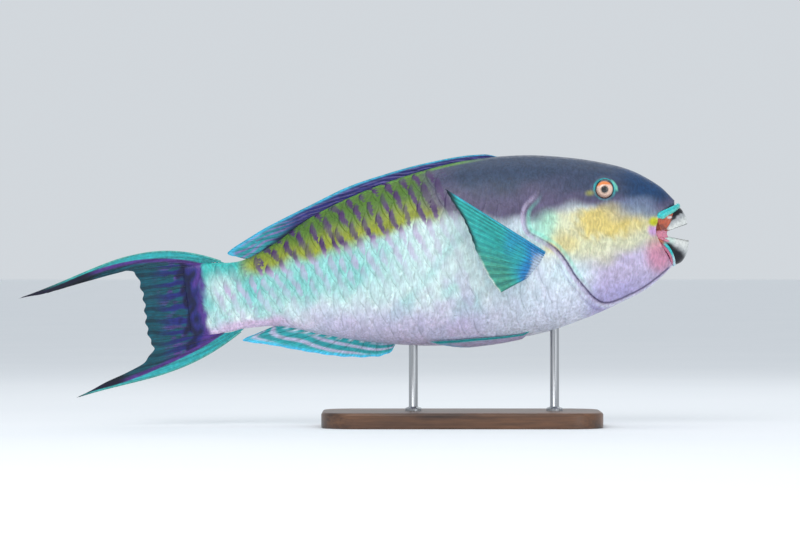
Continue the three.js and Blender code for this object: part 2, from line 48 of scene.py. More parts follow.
# Driving dimensions, as in the part
NOSE_UP = math.radians(7.5)
TAIL_ROOT_HEIGHT = 113.0
BALANCE = 236.0
BODY_FULLNESS = 0.92
FLANK_SPREAD = 0.19
BEND = {"from": 150.0, "reach": 310.0, "sweep": 26.0}
MOUTH_BACK = (398.0, 5.0)
MOUTH_SHRINK = 0.72
MOUTH_INSET = 3.0

# side, back and belly say how far forward the section stands at its widest line, top and
# bottom; then come its heights, its half width and the height of its widest line.
SECTIONS = np.array([
    (0, 0, 0, 32, -32, 3, 0),
    (14, 14, 14, 31.5, -32, 6.5, 0),
    (40, 40, 40, 30, -30.5, 11.5, 0),
    (70, 70, 70, 40, -33, 16, 2),
    (105, 105, 105, 59, -45, 22, 5),
    (150, 150, 150, 75, -58, 29, 8),
    (200, 200, 200, 86.5, -67.5, 34.5, 10),
    (250, 250, 250, 92.5, -71, 37.5, 11),
    (300, 300, 300, 91, -69, 38, 11),
    (340, 340, 340, 84, -61, 36, 10),
    (375, 375, 375, 74, -50.5, 31.5, 9),
    (396, 400, 398, 63, -42, 25.5, 7),
    (406, 421, 413, 47, -32.5, 19.5, 6),
    (411, 432, 422.5, 33, -25, 16, 5),
], float)
BODY_END = 411.0
TAIL_TUCK = 12.0  # how far the skin runs on over the root of the tail fin

# Gill cover: its free edge, which runs on forward as the edge of the throat
GILL_LINE = [
    (313, 60), (309, 52), (299, 43), (296, 33), (298, 22), (308, 14), (319, 5), (327, -7),
    (334, -22), (342, -35), (350, -45), (358, -49.5), (368, -49), (380, -45.5), (394, -40.5),
    (408, -33), (419, -26),
]
CHEEK_FOLD = [(330, 47), (343, 36), (348, 20), (349, 0), (352, -18), (361, -31), (377, -35), (396, -30)]
EYE = {"at": (370.0, 50.5), "radius": 10.5, "proud": 2.2, "iris": 7.4, "pupil": 2.9, "rim": 9.4}
NOSTRILS = [((384.0, 49.0), 0.9), ((388.5, 46.5), 1.15)]

UPPER_BEAK = {
    "root_front": (432.5, 26), "root_corner": (413, 9), "edge_front": (440.5, 11),
    "edge_corner": (416, 5.5), "root_half": 12.5, "edge_half": 11.5, "bow": 0, "bulge": 3.4,
    "sink": 5, "root_thick": 4.2, "edge_thick": 1.2,
}
LOWER_BEAK = {
    "root_front": (423.5, -22), "root_corner": (412, 1), "edge_front": (440, -5),
    "edge_corner": (416.5, 3), "root_half": 12.2, "edge_half": 10.8, "bow": 4, "bulge": 6,
    "sink": 4, "root_thick": 4.6, "edge_thick": 1.2, "lip": 2,
}
LIP_FLATNESS = 0.8
UPPER_LIP = {"corner": (413.0, 18.8), "front": (434.2, 27.2), "half": 13.4, "deep": (4.5, 2.3), "out": 2.2}

# A fin's grid is its points across and along. ray_radii are a ray's at root and tip, branch is
# where its side branches part from it, and notch is the depth of its free edge's notches.
FIN_SINK = 4.0
DORSAL = {
    "front": 290, "rear": 52, "rays": 19, "thick": 0.9, "ridge": 0.55,
    "grid": (230, 14), "ray_radii": (0.65, 0.32), "branch": 0.45, "notch": 0.1,
    "edge": [(284, 94.5), (251, 97), (211, 94.5), (179, 90), (144, 83), (108, 71), (72, 58.5),
             (54, 51), (30, 39), (38, 34)],
}
ANAL = {
    "front": 171, "rear": 72, "rays": 12, "thick": 0.8, "ridge": 0.5,
    "grid": (150, 24), "ray_radii": (0.6, 0.3), "branch": 0.4, "notch": 0.7,
    "edge": [(168, -66.5), (152, -71), (120, -67), (89, -58.5), (58, -48.5), (33, -41), (46, -36.5)],
}
PECTORAL = {
    "root": [(309, 3), (302, -7), (291, -18)],
    "edge": [(229, 69), (234, 57), (241, 42), (246, 25), (250, 7), (256, -11), (265, -28)],
    "rays": 13, "out": 34, "lift": 6, "thick": 0.9, "ridge": 0.55,
    "grid": (157, 48), "ray_radii": (0.8, 0.32), "branch": 0.36, "notch": 1.0,
}
PELVIC = {
    "front": 294, "upper_back": 199, "lower_back": 232, "upper": -72, "lower": -87.5,
    "off": 1.6, "rays": 5, "thick": 0.8, "ridge": 0.45,
    "grid": (61, 40), "ray_radii": (0.65, 0.3), "branch": 0.5, "notch": 0.8,
}
TAIL = {
    "root": [(20, 29.6), (3, 27), (3, -27), (29, -30.3)],
    "edge": [(-163.5, 22.6), (-139, 24), (-110, 29), (-80.5, 35), (-58, 33), (-53, 20), (-51.5, 8),
             (-51.5, -4), (-52, -16), (-51, -28), (-49, -39), (-63, -51.6), (-91, -61), (-123, -72.6)],
    "upper_bow": [(-8.5, 41), (15, 12.8)], "lower_bow": [(-8, -24.4), (10, -2.7)],
    "lobe": 0.3, "rays": 15, "thick": 0.9, "ridge": 0.7, "sink": 7,
    "grid": (241, 60), "ray_radii": (1.0, 0.4), "branch": 0.34, "notch": 2.0,
    "nodes": ("tail_fin_upper", "tail_fin_middle", "tail_fin_lower"),
}

BASE = {"length": 250.0, "width": 124.0, "height": 14.0, "corner": 30.0, "bevel": 2.5}
ROD = {"radius": 4.0, "front": 311.0, "rear": 184.0, "collar": 7.5}

SIDES = (("right", 1), ("left", -1))


def srgb(red, green, blue):
    """A colour named by its screen values, as linear light."""
    c = np.array([red, green, blue]) / 255
    return np.where(c <= 0.04045, c / 12.92, ((c + 0.055) / 1.055) ** 2.4)


# Places of the markings, and of a few painted highlights and painted shade among them: the middle, the radii
# and the softness of the edge of each spot
SPOTS = {
    "ear": ((310, 27), (15, 16), 0.45),
    "cheek_pale": ((356, 12), (34, 24), 0.4),
    "cheek_front": ((393, 17), (17, 8), 0.7),
    "cheek_rear": ((326, 8), (14, 9), 0.6),
    "snout_pale": ((391, 32), (17, 8), 0.8),
    "chin": ((412, -13), (12, 15), 0.55),
    "mouth_corner": ((409, 9), (5, 5), 0.5),
    "lip_corner": ((410.5, 16.5), (4.6, 4), 0.4),
    "behind_eye": ((356.5, 49), (3.6, 2.2), 0.7),
    "mouth_slit_shade": ((414, 6.5), (3.5, 2), 0.6),
    "painted_fold_highlight": ((425, 18.5), (2.2, 1.2), 0.5),
    "stalk": ((24, 4), (14, 15), 0.7),
}
CHEEK = {"at": (368, 23), "radii": (33, 19)}
NAPE_EDGE = ([190, 230, 275, 311, 348, 372, 400, 440], [66, 47, 34, 36, 42, 36, 28, 24])

# The green band on the back: the height of its lower edge and of its deeper green at one place
# along the fish, and how fast each rises towards the head
BAND_FROM = 54
BAND_EDGE = (17, 0.17)
BAND_DEEP = (30, 0.2)

# Colours of the fish
CROWN_SLATE = srgb(50, 66, 92)
NAPE_PURPLE = srgb(90, 82, 112)
SNOUT_BLUE = srgb(20, 60, 102)
CHEEK_BLUE = srgb(120, 142, 172)
CHEEK_YELLOW = srgb(218, 194, 104)
CHEEK_CREAM = srgb(212, 212, 176)
CHEEK_GREEN = srgb(160, 218, 196)
JAW_LILAC = srgb(192, 180, 210)
THROAT_VIOLET = srgb(150, 144, 202)
CHIN_ROSE = srgb(206, 124, 150)
CORNER_YELLOW = srgb(208, 208, 44)
CORNER_LILAC = srgb(206, 158, 214)
GILL_VIOLET = srgb(96, 78, 146)
GILL_LINE_DARK = srgb(58, 40, 96)
GILL_TURQUOISE = srgb(120, 212, 190)
BREAST_WHITE = srgb(220, 228, 240)
FLANK_PALE = srgb(220, 238, 236)
FLANK_AQUA = srgb(112, 204, 196)
BELLY_LILAC = srgb(202, 186, 220)
STALK_TURQUOISE = srgb(56, 186, 180)
STALK_PINK = srgb(216, 186, 218)
BACK_GREEN = srgb(76, 116, 32)
BACK_YELLOW = srgb(150, 158, 40)
BAR_PURPLE = srgb(66, 30, 92)
BAR_LILAC = srgb(200, 168, 212)
FIN_LINE_GREEN = srgb(104, 156, 48)
FIN_INDIGO = srgb(34, 36, 116)
FIN_VIOLET = srgb(92, 58, 146)
FIN_AZURE = srgb(70, 186, 222)
FIN_LILAC = srgb(150, 140, 196)
FIN_TURQUOISE = srgb(48, 172, 176)
FIN_TEAL = srgb(12, 82, 98)
FIN_NAVY = srgb(4, 12, 32)
PECTORAL_TEAL = srgb(54, 188, 180)
PECTORAL_BLUE = srgb(42, 140, 206)
PECTORAL_GREEN = srgb(84, 158, 124)
LIP_TURQUOISE = srgb(16, 188, 190)
FLESH_ORANGE = srgb(180, 80, 46)
MOUTH_DARK = srgb(58, 18, 20)
BEAK_IVORY = srgb(226, 228, 224)
BEAK_GREY = srgb(150, 154, 160)
BEAK_BLACK = srgb(10, 12, 26)
IRIS_CREAM = srgb(244, 208, 184)
IRIS_ORANGE = srgb(236, 128, 44)
EYE_BLACK = srgb(8, 8, 10)
WHITE = srgb(240, 246, 244)


def soft(value, start, end):
    """0 before start, 1 past end and smooth between them. end may be the smaller one."""
    t = np.clip((value - start) / (end - start), 0, 1)
    return t * t * (3 - 2 * t)


def lay(tone, colour, share):
    """One colour laid over the tones so far, as thick as share says."""
    return tone + (colour - tone) * np.clip(share, 0, 1)[..., None]


def wander(points, size, seed):
    """Smooth random values around -1 to 1 that change over about size millimetres."""
    draw = np.random.default_rng(seed)
    total = np.zeros(len(points))
    for _ in range(7):
        direction = draw.normal(size=3)
        direction /= np.linalg.norm(direction)
        turns = 2 * np.pi / (size * draw.uniform(0.6, 1.7))
        total += np.sin(points @ direction * turns + draw.uniform(0, 2 * np.pi))
    return total / 2.6


def spot(x, z, centre, radii, edge=0.3):
    """1 inside an oval and 0 outside it, with a soft edge."""
    away = np.hypot((x - centre[0]) / radii[0], (z - centre[1]) / radii[1])
    return soft(away, 1 + edge, 1 - edge)


# The body


def smooth_values(knots, values, x):
    """Cubic through the values at the knots, with slopes from their neighbours."""
    knots = np.asarray(knots, float)
    values = np.asarray(values, float)
    last = len(knots) - 1
    order = np.arange(last + 1)
    before = np.maximum(order - 1, 0)
    after = np.minimum(order + 1, last)
    slopes = (values[after] - values[before]) / (knots[after] - knots[before])[:, None]
    i = np.clip(np.searchsorted(knots, x, side="left") - 1, 0, last - 1)
    step = (knots[i + 1] - knots[i])[..., None]
    t = (x - knots[i])[..., None] / step
    t2 = t * t
    t3 = t2 * t
    return ((2 * t3 - 3 * t2 + 1) * values[i] + (t3 - 2 * t2 + t) * step * slopes[i]
            + (3 * t2 - 2 * t3) * values[i + 1] + (t3 - t2) * step * slopes[i + 1])


def curve_points(pairs, t):
    """A point at each share t of the smooth line through pairs, evenly spaced by point."""
    pairs = np.asarray(pairs, float)
    last = len(pairs) - 1
    place = np.clip(np.asarray(t, float), 0, 1) * last
    i = np.minimum(place.astype(int), last - 1)
    w = (place - i)[..., None]
    p0 = pairs[np.maximum(i - 1, 0)]
    p1 = pairs[i]
    p2 = pairs[i + 1]
    p3 = pairs[np.minimum(i + 2, last)]
    v0 = (p2 - p0) / 2
    v1 = (p3 - p1) / 2
    return (2 * p1 - 2 * p2 + v0 + v1) * w ** 3 + (3 * p2 - 3 * p1 - 2 * v0 - v1) * w ** 2 + v0 * w + p1


def swim_bend(x):
    """How far the swimming bend carries a point sideways."""
    return BEND["sweep"] * (np.maximum(0, BEND["from"] - x) / BEND["reach"]) ** 2


def skin_point(along, turn, grow=0.0):
    """A point of the skin: along the body, and turn round it from the right side over the back."""
    along, turn, grow = np.broadcast_arrays(*(np.asarray(v, float) for v in (along, turn, grow)))
    s = smooth_values(SECTIONS[:, 0], SECTIONS, np.maximum(along, 0))
    side, back, belly, top, bottom, half, wide = np.moveaxis(s, -1, 0)
    tuck = np.clip(-along / TAIL_TUCK, 0, 1)
    half = half * np.sqrt(1 - 0.93 * tuck ** 2)
    angle = turn - FLANK_SPREAD * np.sin(2 * turn)
    up = np.sin(angle)
    out = np.cos(angle)
    tall = np.where(up >= 0, top - wide, wide - bottom) * (1 - 0.02 * tuck) + grow
    x = side + np.where(up >= 0, (back - side) * up * up, (side - belly) * up) + np.minimum(along, 0)
    y = -np.sign(out) * (half + grow) * np.abs(out) ** BODY_FULLNESS
    z = wide + np.sign(up) * tall * np.abs(up) ** BODY_FULLNESS
    return np.stack([x, y + swim_bend(x), z], -1)


def half_width_at(x, z):
    """Half the body's width at a place on its side."""
    x, z = np.broadcast_arrays(np.asarray(x, float), np.asarray(z, float))
    low = np.full(x.shape, -np.pi / 2)
    high = np.full(x.shape, np.pi / 2)
    for _ in range(30):
        middle = (low + high) / 2
        below = skin_point(x, middle)[..., 2] < z
        low = np.where(below, middle, low)
        high = np.where(below, high, middle)
    return np.abs(skin_point(x, low)[..., 1] - swim_bend(x))


def in_part(points):
    """Points of the fish's frame, in millimetres, as points of the part, in metres."""
    x, y, z = np.moveaxis(np.asarray(points, float), -1, 0)
    forward = (x - BALANCE) * math.cos(NOSE_UP) - z * math.sin(NOSE_UP)
    height = x * math.sin(NOSE_UP) + z * math.cos(NOSE_UP) + TAIL_ROOT_HEIGHT
    return np.stack([forward, y, height], -1) * MM


def in_fish(points):
    """Points of the part, in metres, as points of the fish's frame, in millimetres."""
    forward, y, height = np.moveaxis(np.asarray(points, float) / MM, -1, 0)
    forward = forward + BALANCE * math.cos(NOSE_UP)
    height = height - TAIL_ROOT_HEIGHT
    x = forward * math.cos(NOSE_UP) + height * math.sin(NOSE_UP)
    return np.stack([x, y, height * math.cos(NOSE_UP) - forward * math.sin(NOSE_UP)], -1)


BACK_LINE = skin_point(np.linspace(0, BODY_END, 300), np.pi / 2)
BELLY_LINE = skin_point(np.linspace(0, BODY_END, 300), -np.pi / 2)


def height_share(x, z):
    """0 on the belly's line and 1 on the back's."""
    back = np.interp(x, BACK_LINE[:, 0], BACK_LINE[:, 2])
    belly = np.interp(x, BELLY_LINE[:, 0], BELLY_LINE[:, 2])
    return (z - belly) / (back - belly)


LINE_STEPS = 240  # points tried when a place is measured from a drawn line


def line_distance(x, z, line):
    """How far a place lies ahead of a line on the side of the fish (behind it is negative),
    and the share of the line that it is nearest to."""
    dots = curve_points(line, np.linspace(0, 1, LINE_STEPS))
    ways = np.gradient(dots, axis=0)
    away = np.full(len(x), 1e9)
    near = np.zeros(len(x), int)
    for i, (cx, cz) in enumerate(dots):
        d = np.hypot(x - cx, z - cz)
        closer = d < away
        away[closer] = d[closer]
        near[closer] = i
    turned = ways[near, 0] * (z - dots[near, 1]) - ways[near, 1] * (x - dots[near, 0])
    return away * np.sign(turned), near / (LINE_STEPS - 1)


# Markings of the skin and scales


def above_line(x, z, line):
    """Height above one of the sloping lines of the green band."""
    start, slope = line
    return z - (start + slope * (x - BAND_FROM))


def gill_marks(tone, x, z):
    """The violet edge of the gill cover, its turquoise inner line, the fold behind it and a painted
    highlight along the throat behind the edge.
    """
    there = x > 280
    d, share = line_distance(x[there], z[there], GILL_LINE)
    strength = soft(share, 0.02, 0.16)
    part = tone[there]
    upper = soft(share, 0.62, 0.42)
    part = lay(part, GILL_TURQUOISE, 0.5 * strength * upper * soft(d, 1.0, 2.5) * soft(d, 6, 3.5))
    part = lay(part, JAW_LILAC, 0.75 * strength * soft(d, -4.4, -2.6) * soft(d, 1.0, -0.5))
    # painted highlight: a pale strip along the throat just behind the cover's edge
    part = lay(part, BREAST_WHITE, 0.5 * soft(share, 0.6, 0.7) * soft(d, -5.5, -3.5) * soft(d, -1.2, -2.4))
    line = soft(d, -1.1, -0.3) * soft(d, 1.5, 0.6) * (0.4 + 0.6 * soft(share, 0.3, 0.42))
    part = lay(part, GILL_LINE_DARK, 0.85 * strength * line)
    second = soft(np.abs(d + 7.5), 1.6, 0.4) * soft(share, 0.35, 0.5) * soft(share, 0.85, 0.7)
    part = lay(part, GILL_VIOLET, 0.28 * second)
    tone[there] = part
    return tone


def head_marks(tone, points, x, z, xs, zs):
    """The slate crown, blue snout, yellow cheek, lilac jaw and the spots round eye and mouth."""
    high = zs - np.interp(xs, *NAPE_EDGE)
    tone = lay(tone, JAW_LILAC, soft(xs, 336, 362) * soft(zs, 16, -8))
    tone = lay(tone, THROAT_VIOLET, 0.55 * soft(xs, 330, 352) * soft(zs, -22, -46))
    tone = lay(tone, CHEEK_CREAM, 0.9 * soft(xs, 299, 316) * soft(zs, -14, 4) * soft(zs, 42, 30))
    tone = lay(tone, CHEEK_GREEN, 0.8 * spot(xs, zs, *SPOTS["ear"]))
    ragged = 0.1 * wander(points, 9, 31)
    cheek_x, cheek_z = CHEEK["at"]
    away = np.hypot((xs - cheek_x) / CHEEK["radii"][0], (zs - cheek_z) / CHEEK["radii"][1]) + ragged
    tone = lay(tone, CHEEK_CREAM, 0.8 * spot(xs, zs, *SPOTS["cheek_pale"]))
    tone = lay(tone, CHEEK_YELLOW, 0.85 * soft(away, 1.15, 0.45))
    tone = lay(tone, CHEEK_YELLOW, 0.5 * spot(xs, zs, *SPOTS["cheek_front"]))
    tone = lay(tone, CHEEK_YELLOW, 0.5 * spot(xs, zs, *SPOTS["cheek_rear"]))
    tone = lay(tone, CHEEK_BLUE, 0.8 * soft(xs, 383, 398) * soft(zs, 16, 26))
    tone = lay(tone, CHIN_ROSE, 0.75 * spot(x, z, *SPOTS["chin"]))
    tone = lay(tone, NAPE_PURPLE, soft(high, -9, 6) * soft(xs, 196, 232))
    tone = lay(tone, CROWN_SLATE, soft(high, 12, 36) * soft(xs, 206, 250))
    tone = lay(tone, CROWN_SLATE, 0.85 * soft(high, 2, 15) * soft(xs, 318, 352))
    tone = lay(tone, SNOUT_BLUE, soft(xs, 376, 404) * soft(high, 1, 16))
    tone = lay(tone, CHEEK_BLUE, 0.6 * spot(xs, zs, *SPOTS["snout_pale"]))
    tone = lay(tone, CORNER_LILAC, 0.9 * spot(x, z, *SPOTS["mouth_corner"]))
    tone = lay(tone, CORNER_YELLOW, spot(x, z, *SPOTS["lip_corner"]))
    return tone


def eye_marks(tone, x, z):
    """The dark and turquoise rings round the eye, with the tick in front of it."""
    ex = x - EYE["at"][0]
    ez = z - EYE["at"][1]
    away = np.hypot(ex, ez)
    angle = np.arctan2(ez, ex)
    ring = soft(away, 7.9, 8.7) * soft(away, 10.6, 9.4)
    upper = 0.3 + 0.7 * soft(np.abs(angle - 1.5), 2.6, 1.4)
    tone = lay(tone, FIN_TURQUOISE, ring * upper)
    wedge = soft(away, 9.2, 9.9) * soft(away, 12.2 - 0.9 * angle, 11.4 - 0.9 * angle)
    tone = lay(tone, GILL_TURQUOISE, 0.85 * wedge * soft(angle, 0.95, 0.6) * soft(angle, -0.35, -0.1))
    tone = lay(tone, CORNER_YELLOW, 0.35 * spot(x, z, *SPOTS["behind_eye"]))
    return lay(tone, FIN_NAVY, 0.85 * soft(away, 8.3, 7.8))


def flank_marks(points, xs, zs, h):
    """The aqua and lilac flank, the turquoise tail stalk with a painted highlight on it, and the green band
    of the back.
    """
    tone = np.tile(FLANK_PALE, (len(xs), 1))
    tone = lay(tone, FLANK_AQUA, 0.75 * soft(xs, 235, 110) * soft(h, 0.2, 0.5))
    tone = lay(tone, FLANK_AQUA, 0.45 * soft(wander(points, 26, 3), 0.0, 1.1) * soft(h, 0.75, 0.45))
    tone = lay(tone, BELLY_LILAC, 0.8 * soft(h, 0.33, 0.1) * soft(xs, 60, 120))
    tone = lay(tone, BELLY_LILAC, 0.5 * soft(wander(points, 20, 5), 0.1, 1.0) * soft(xs, 150, 240)
               * soft(h, 0.6, 0.3))
    tone = lay(tone, STALK_TURQUOISE, soft(xs, 62, 34) * soft(h, 0.68, 0.92))
    tone = lay(tone, STALK_TURQUOISE, 0.6 * soft(xs, 75, 30) * soft(h, 0.12, 0.5))
    # painted highlight: a white patch on the tail stalk
    tone = lay(tone, WHITE, 0.6 * spot(xs, zs, *SPOTS["stalk"]))
    tone = lay(tone, STALK_PINK, 0.9 * soft(xs, 120, 60) * soft(h, 0.2, 0.05))
    tone = lay(tone, BREAST_WHITE, 0.7 * soft(xs, 236, 276) * soft(h, 0.75, 0.6))
    green = soft(above_line(xs, zs, BAND_EDGE), -6, 6) * soft(xs, 34, 52) * soft(xs, 264, 224)
    tone = lay(tone, BACK_YELLOW, green)
    tone = lay(tone, BACK_GREEN, green * soft(above_line(xs, zs, BAND_DEEP), -12, 10))
    return tone


STALK_END = 16.0
TAIL_SPREAD = 162.0  # height that the tail fin's whole span is read over at the stalk


def tail_marks(tone, points):
    """The tail fin's colours, run on over the end of the body with a ragged edge."""
    at_tail = points[:, 0] < STALK_END
    root = points[at_tail]
    ragged = root[:, 0] + 1.8 * wander(root, 8, 44)
    over = paint_tail(0.5 - root[:, 2] / TAIL_SPREAD, None, root)
    tone[at_tail] = tone[at_tail] + (over - tone[at_tail]) * soft(ragged, 7, 2)[:, None]
    return tone


def paint_body(points):
    """Tones of the whole body, for points in the fish's frame."""
    x, z = points[:, 0], points[:, 2]
    xs = x + 3.0 * wander(points, 34, 1)
    zs = z + 2.2 * wander(points, 24, 2)
    h = height_share(x, zs)
    tone = flank_marks(points, xs, zs, h)
    tone = head_marks(tone, points, x, z, xs, zs)
    at_fin = soft(height_share(x, z), 0.98, 0.99) * soft(x, 90, 120) * soft(x, 275, 240)
    tone = lay(tone, FIN_LINE_GREEN, 0.8 * at_fin)
    tone = gill_marks(tone, x, z)
    near_eye = (x > 350) & (x < 392) & (z > 30)
    tone[near_eye] = eye_marks(tone[near_eye], x[near_eye], z[near_eye])
    tone = tail_marks(tone, points)
    # painted shade: the skin turned in to the mouth is darkened as the shaded inside of the mouth
    inside = soft(np.abs(points[:, 1]), 15, 12) * soft(x, 412, 409) * soft(x, 396, 399)
    mouth = inside * soft(z, -20, -14) * soft(z, 27, 20)
    return lay(tone, MOUTH_DARK, mouth)


def bar_marks(points):
    """Colour and strength of the slanted bar on each scale, for points in the fish's frame."""
    x, z = points[:, 0], points[:, 2]
    h = height_share(x, z)
    rise = above_line(x, z, BAND_EDGE)
    back = soft(rise, -8, 5)
    colour = np.tile(BAR_LILAC, (len(x), 1))
    colour = lay(colour, BAR_PURPLE, back)
    near_back = soft(rise, -52, -6)
    strength = 0.06 + 0.5 * near_back * soft(x, 290, 200)
    strength = strength + (0.92 - strength) * back
    strength *= 1 - 0.5 * soft(x, 205, 250)
    strength *= 1 - 0.8 * soft(x, 255, 290)
    strength *= soft(h, 0.02, 0.14) * soft(x, 8, 20) * (1 - 0.75 * back * soft(x, 58, 38))
    strength *= 1 + 0.25 * wander(points, 22, 12)
    return colour, np.clip(strength, 0, 1)


# Making meshes


def new_piece(name, points, faces):
    """A mesh object from points of the part and faces of three or four corners."""
    mesh = bpy.data.meshes.new(name)
    mesh.from_pydata(np.asarray(points).tolist(), [], [list(map(int, f)) for f in faces])
    mesh.validate()
    mesh.shade_smooth()
    piece = bpy.data.objects.new(name, mesh)
    bpy.context.scene.collection.objects.link(piece)
    return piece


def closed_piece(name, points, faces):
    """A closed mesh object whose faces are turned to point outwards."""
    points = np.asarray(points, float)
    volume = 0.0
    for f in faces:
        a = points[f[0]]
        for j in range(1, len(f) - 1):
            volume += np.dot(a, np.cross(points[f[j]], points[f[j + 1]]))
    if volume < 0:
        faces = [f[::-1] for f in faces]
    return new_piece(name, points, faces)


def grid_faces(rows, columns, wrap=False):
    """Faces of a grid of points, row by row. wrap joins its last column to its first."""
    faces = []
    for r in range(rows - 1):
        for c in range(columns if wrap else columns - 1):
            d = (c + 1) % columns
            faces.append((r * columns + c, r * columns + d, (r + 1) * columns + d, (r + 1) * columns + c))
    return faces


def ring_body(name, rings):
    """A closed mesh from rings of points, capped by a fan at each end."""
    rings = np.asarray(rings, float)
    count, sides = rings.shape[:2]
    points = np.concatenate([rings.reshape(-1, 3), [rings[0].mean(0)], [rings[-1].mean(0)]])
    faces = grid_faces(count, sides, wrap=True)
    first, last = count * sides, count * sides + 1
    for c in range(sides):
        d = (c + 1) % sides
        faces.append((first, d, c))
        faces.append((last, (count - 1) * sides + c, (count - 1) * sides + d))
    return closed_piece(name, points, faces)


def fish_points(piece):
    """A piece's points in the fish's frame."""
    flat = np.empty(len(piece.data.vertices) * 3, np.float32)
    piece.data.vertices.foreach_get("co", flat)
    return in_fish(flat.reshape(-1, 3))


def set_tone(piece, tone, name="tone", strength=None):
    """Keeps a colour for each point of a piece, which its material reads."""
    attribute = piece.data.attributes.new(name, "FLOAT_COLOR", "POINT")
    alpha = np.ones(len(tone)) if strength is None else strength
    attribute.data.foreach_set("color", np.column_stack([tone, alpha]).astype(np.float32).ravel())


def set_vector(piece, values, name):
    """Keeps three values for each point of a piece."""
    attribute = piece.data.attributes.new(name, "FLOAT_VECTOR", "POINT")
    attribute.data.foreach_set("vector", np.asarray(values, np.float32).ravel())


def get_vector(piece, name):
    """The three values kept for each point of a piece."""
    flat = np.empty(len(piece.data.vertices) * 3, np.float32)
    piece.data.attributes[name].data.foreach_get("vector", flat)
    return flat.reshape(-1, 3).astype(float)


def set_uv(piece, name, values):
    """A UV map from a value for each corner of the mesh."""
    layer = piece.data.uv_layers.new(name=name)
    layer.data.foreach_set("uv", np.asarray(values, np.float32).ravel())


def corner_points(piece):
    """The point that each corner of a piece's faces stands on."""
    index = np.empty(len(piece.data.loops), np.int32)
    piece.data.loops.foreach_get("vertex_index", index)
    return index


def finish_piece(piece, material, nodes=()):
    """Gives a finished piece its material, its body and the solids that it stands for."""
    piece.data.materials.clear()
    piece.data.materials.append(material)
    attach(piece, "root")
    if nodes:
        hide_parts(*nodes)
    return piece


# Node trees


class Graph:
    """Short calls that build a shader or geometry node tree."""

    def __init__(self, tree):
        self.tree = tree

    def feed(self, socket, value):
        """Joins or sets one input."""
        if isinstance(value, bpy.types.NodeSocket):
            self.tree.links.new(value, socket)
        else:
            socket.default_value = value

    def put(self, kind, settings=None, inputs=None):
        """Adds a node with its settings and inputs."""
        node = self.tree.nodes.new(kind)
        for key, value in (settings or {}).items():
            setattr(node, key, value)
        for key, value in (inputs or {}).items():
            self.feed(node.inputs[key], value)
        return node

    def math(self, operation, *values, clamp=False):
        """A sum of numbers."""
        settings = {"operation": operation, "use_clamp": clamp}
        return self.put("ShaderNodeMath", settings, dict(enumerate(values))).outputs[0]

    def vector(self, operation, *values):
        """A sum of vectors."""
        inputs = dict(enumerate(values))
        if operation == "SCALE":
            inputs = {0: values[0], "Scale": values[1]}
        return self.put("ShaderNodeVectorMath", {"operation": operation}, inputs).outputs[0]

    def parts(self, vector):
        """The three numbers of a vector."""
        return self.put("ShaderNodeSeparateXYZ", None, {0: vector}).outputs

    def join(self, x, y, z=0.0):
        """A vector from three numbers."""
        return self.put("ShaderNodeCombineXYZ", None, {0: x, 1: y, 2: z}).outputs[0]

    def ramp(self, value, low, high, to_low=0.0, to_high=1.0):
        """A value carried smoothly from one range to another."""
        inputs = {"Value": value, "From Min": low, "From Max": high, "To Min": to_low, "To Max": to_high}
        return self.put("ShaderNodeMapRange", {"interpolation_type": "SMOOTHSTEP"}, inputs).outputs[0]

    def blend(self, share, below, above):
        """A colour between two others."""
        return self.put("ShaderNodeMix", {"data_type": "RGBA"}, {0: share, 6: below, 7: above}).outputs[2]

    def attribute(self, name):
        """What the piece keeps under a name."""
        return self.put("ShaderNodeAttribute", {"attribute_name": name}).outputs

    def tone(self):
        """The colour kept at each point of the piece."""
        return self.attribute("tone")["Color"]

    def named(self, name, kind="FLOAT_VECTOR"):
        """A value kept under a name, for a tree of shapes."""
        return self.put("GeometryNodeInputNamedAttribute", {"data_type": kind}, {"Name": name}).outputs[0]

    def store(self, geometry, name, value, kind="FLOAT_VECTOR", domain="POINT"):
        """The shape with a value kept under a name."""
        settings = {"data_type": kind, "domain": domain}
        inputs = {"Geometry": geometry, "Name": name, "Value": value}
        return self.put("GeometryNodeStoreNamedAttribute", settings, inputs).outputs[0]

    def on_map(self, mesh, field, uv_map, place):
        """A mesh's value where a place falls on the mesh's own map."""
        return self.put("GeometryNodeSampleUVSurface", {"data_type": "FLOAT_VECTOR"}, {
            "Mesh": mesh, "Value": field, "UV Map": uv_map, "Sample UV": place}).outputs[0]

    def smooth_out(self, geometry, material):
        """Ends a tree with smooth shading and the material."""
        smooth = self.put("GeometryNodeSetShadeSmooth", None, {"Geometry": geometry}).outputs[0]
        done = self.put("GeometryNodeSetMaterial", None, {"Geometry": smooth, "Material": material})
        self.put("NodeGroupOutput", None, {"Geometry": done.outputs[0]})

    def noise(self, place, scale, detail=3.0, roughness=0.55):
        """Fractal noise over the places given."""
        inputs = {"Vector": place, "Scale": scale, "Detail": detail, "Roughness": roughness}
        return self.put("ShaderNodeTexNoise", None, inputs).outputs[0]

    def object_place(self, stretch=(1, 1, 1)):
        """Places in the piece's own frame, stretched where asked."""
        place = self.put("ShaderNodeTexCoord").outputs["Object"]
        return self.put("ShaderNodeMapping", None, {"Vector": place, "Scale": stretch}).outputs[0]


def colour_of(values):
    """A colour as a socket takes it."""
    return (float(values[0]), float(values[1]), float(values[2]), 1.0)


def new_material(name, roughness, fixed):
    """A material with one Principled shader. fixed are the values set on its own sockets."""
    material = bpy.data.materials.new(name)
    material.use_nodes = True
    graph = Graph(material.node_tree)
    shader = material.node_tree.nodes["Principled BSDF"]
    shader.inputs["Roughness"].default_value = roughness
    for key, value in fixed.items():
        shader.inputs[key].default_value = value
    return material, graph, shader


def bump(graph, shader, height, distance, strength, below=None):
    """Feeds a relief to the shader, over the relief below it where there is one."""
    inputs = {"Height": height, "Distance": distance, "Strength": strength}
    if below is not None:
        inputs["Normal"] = below
    made = graph.put("ShaderNodeBump", None, inputs).outputs[0]
    graph.feed(shader.inputs["Normal"], made)
    return made


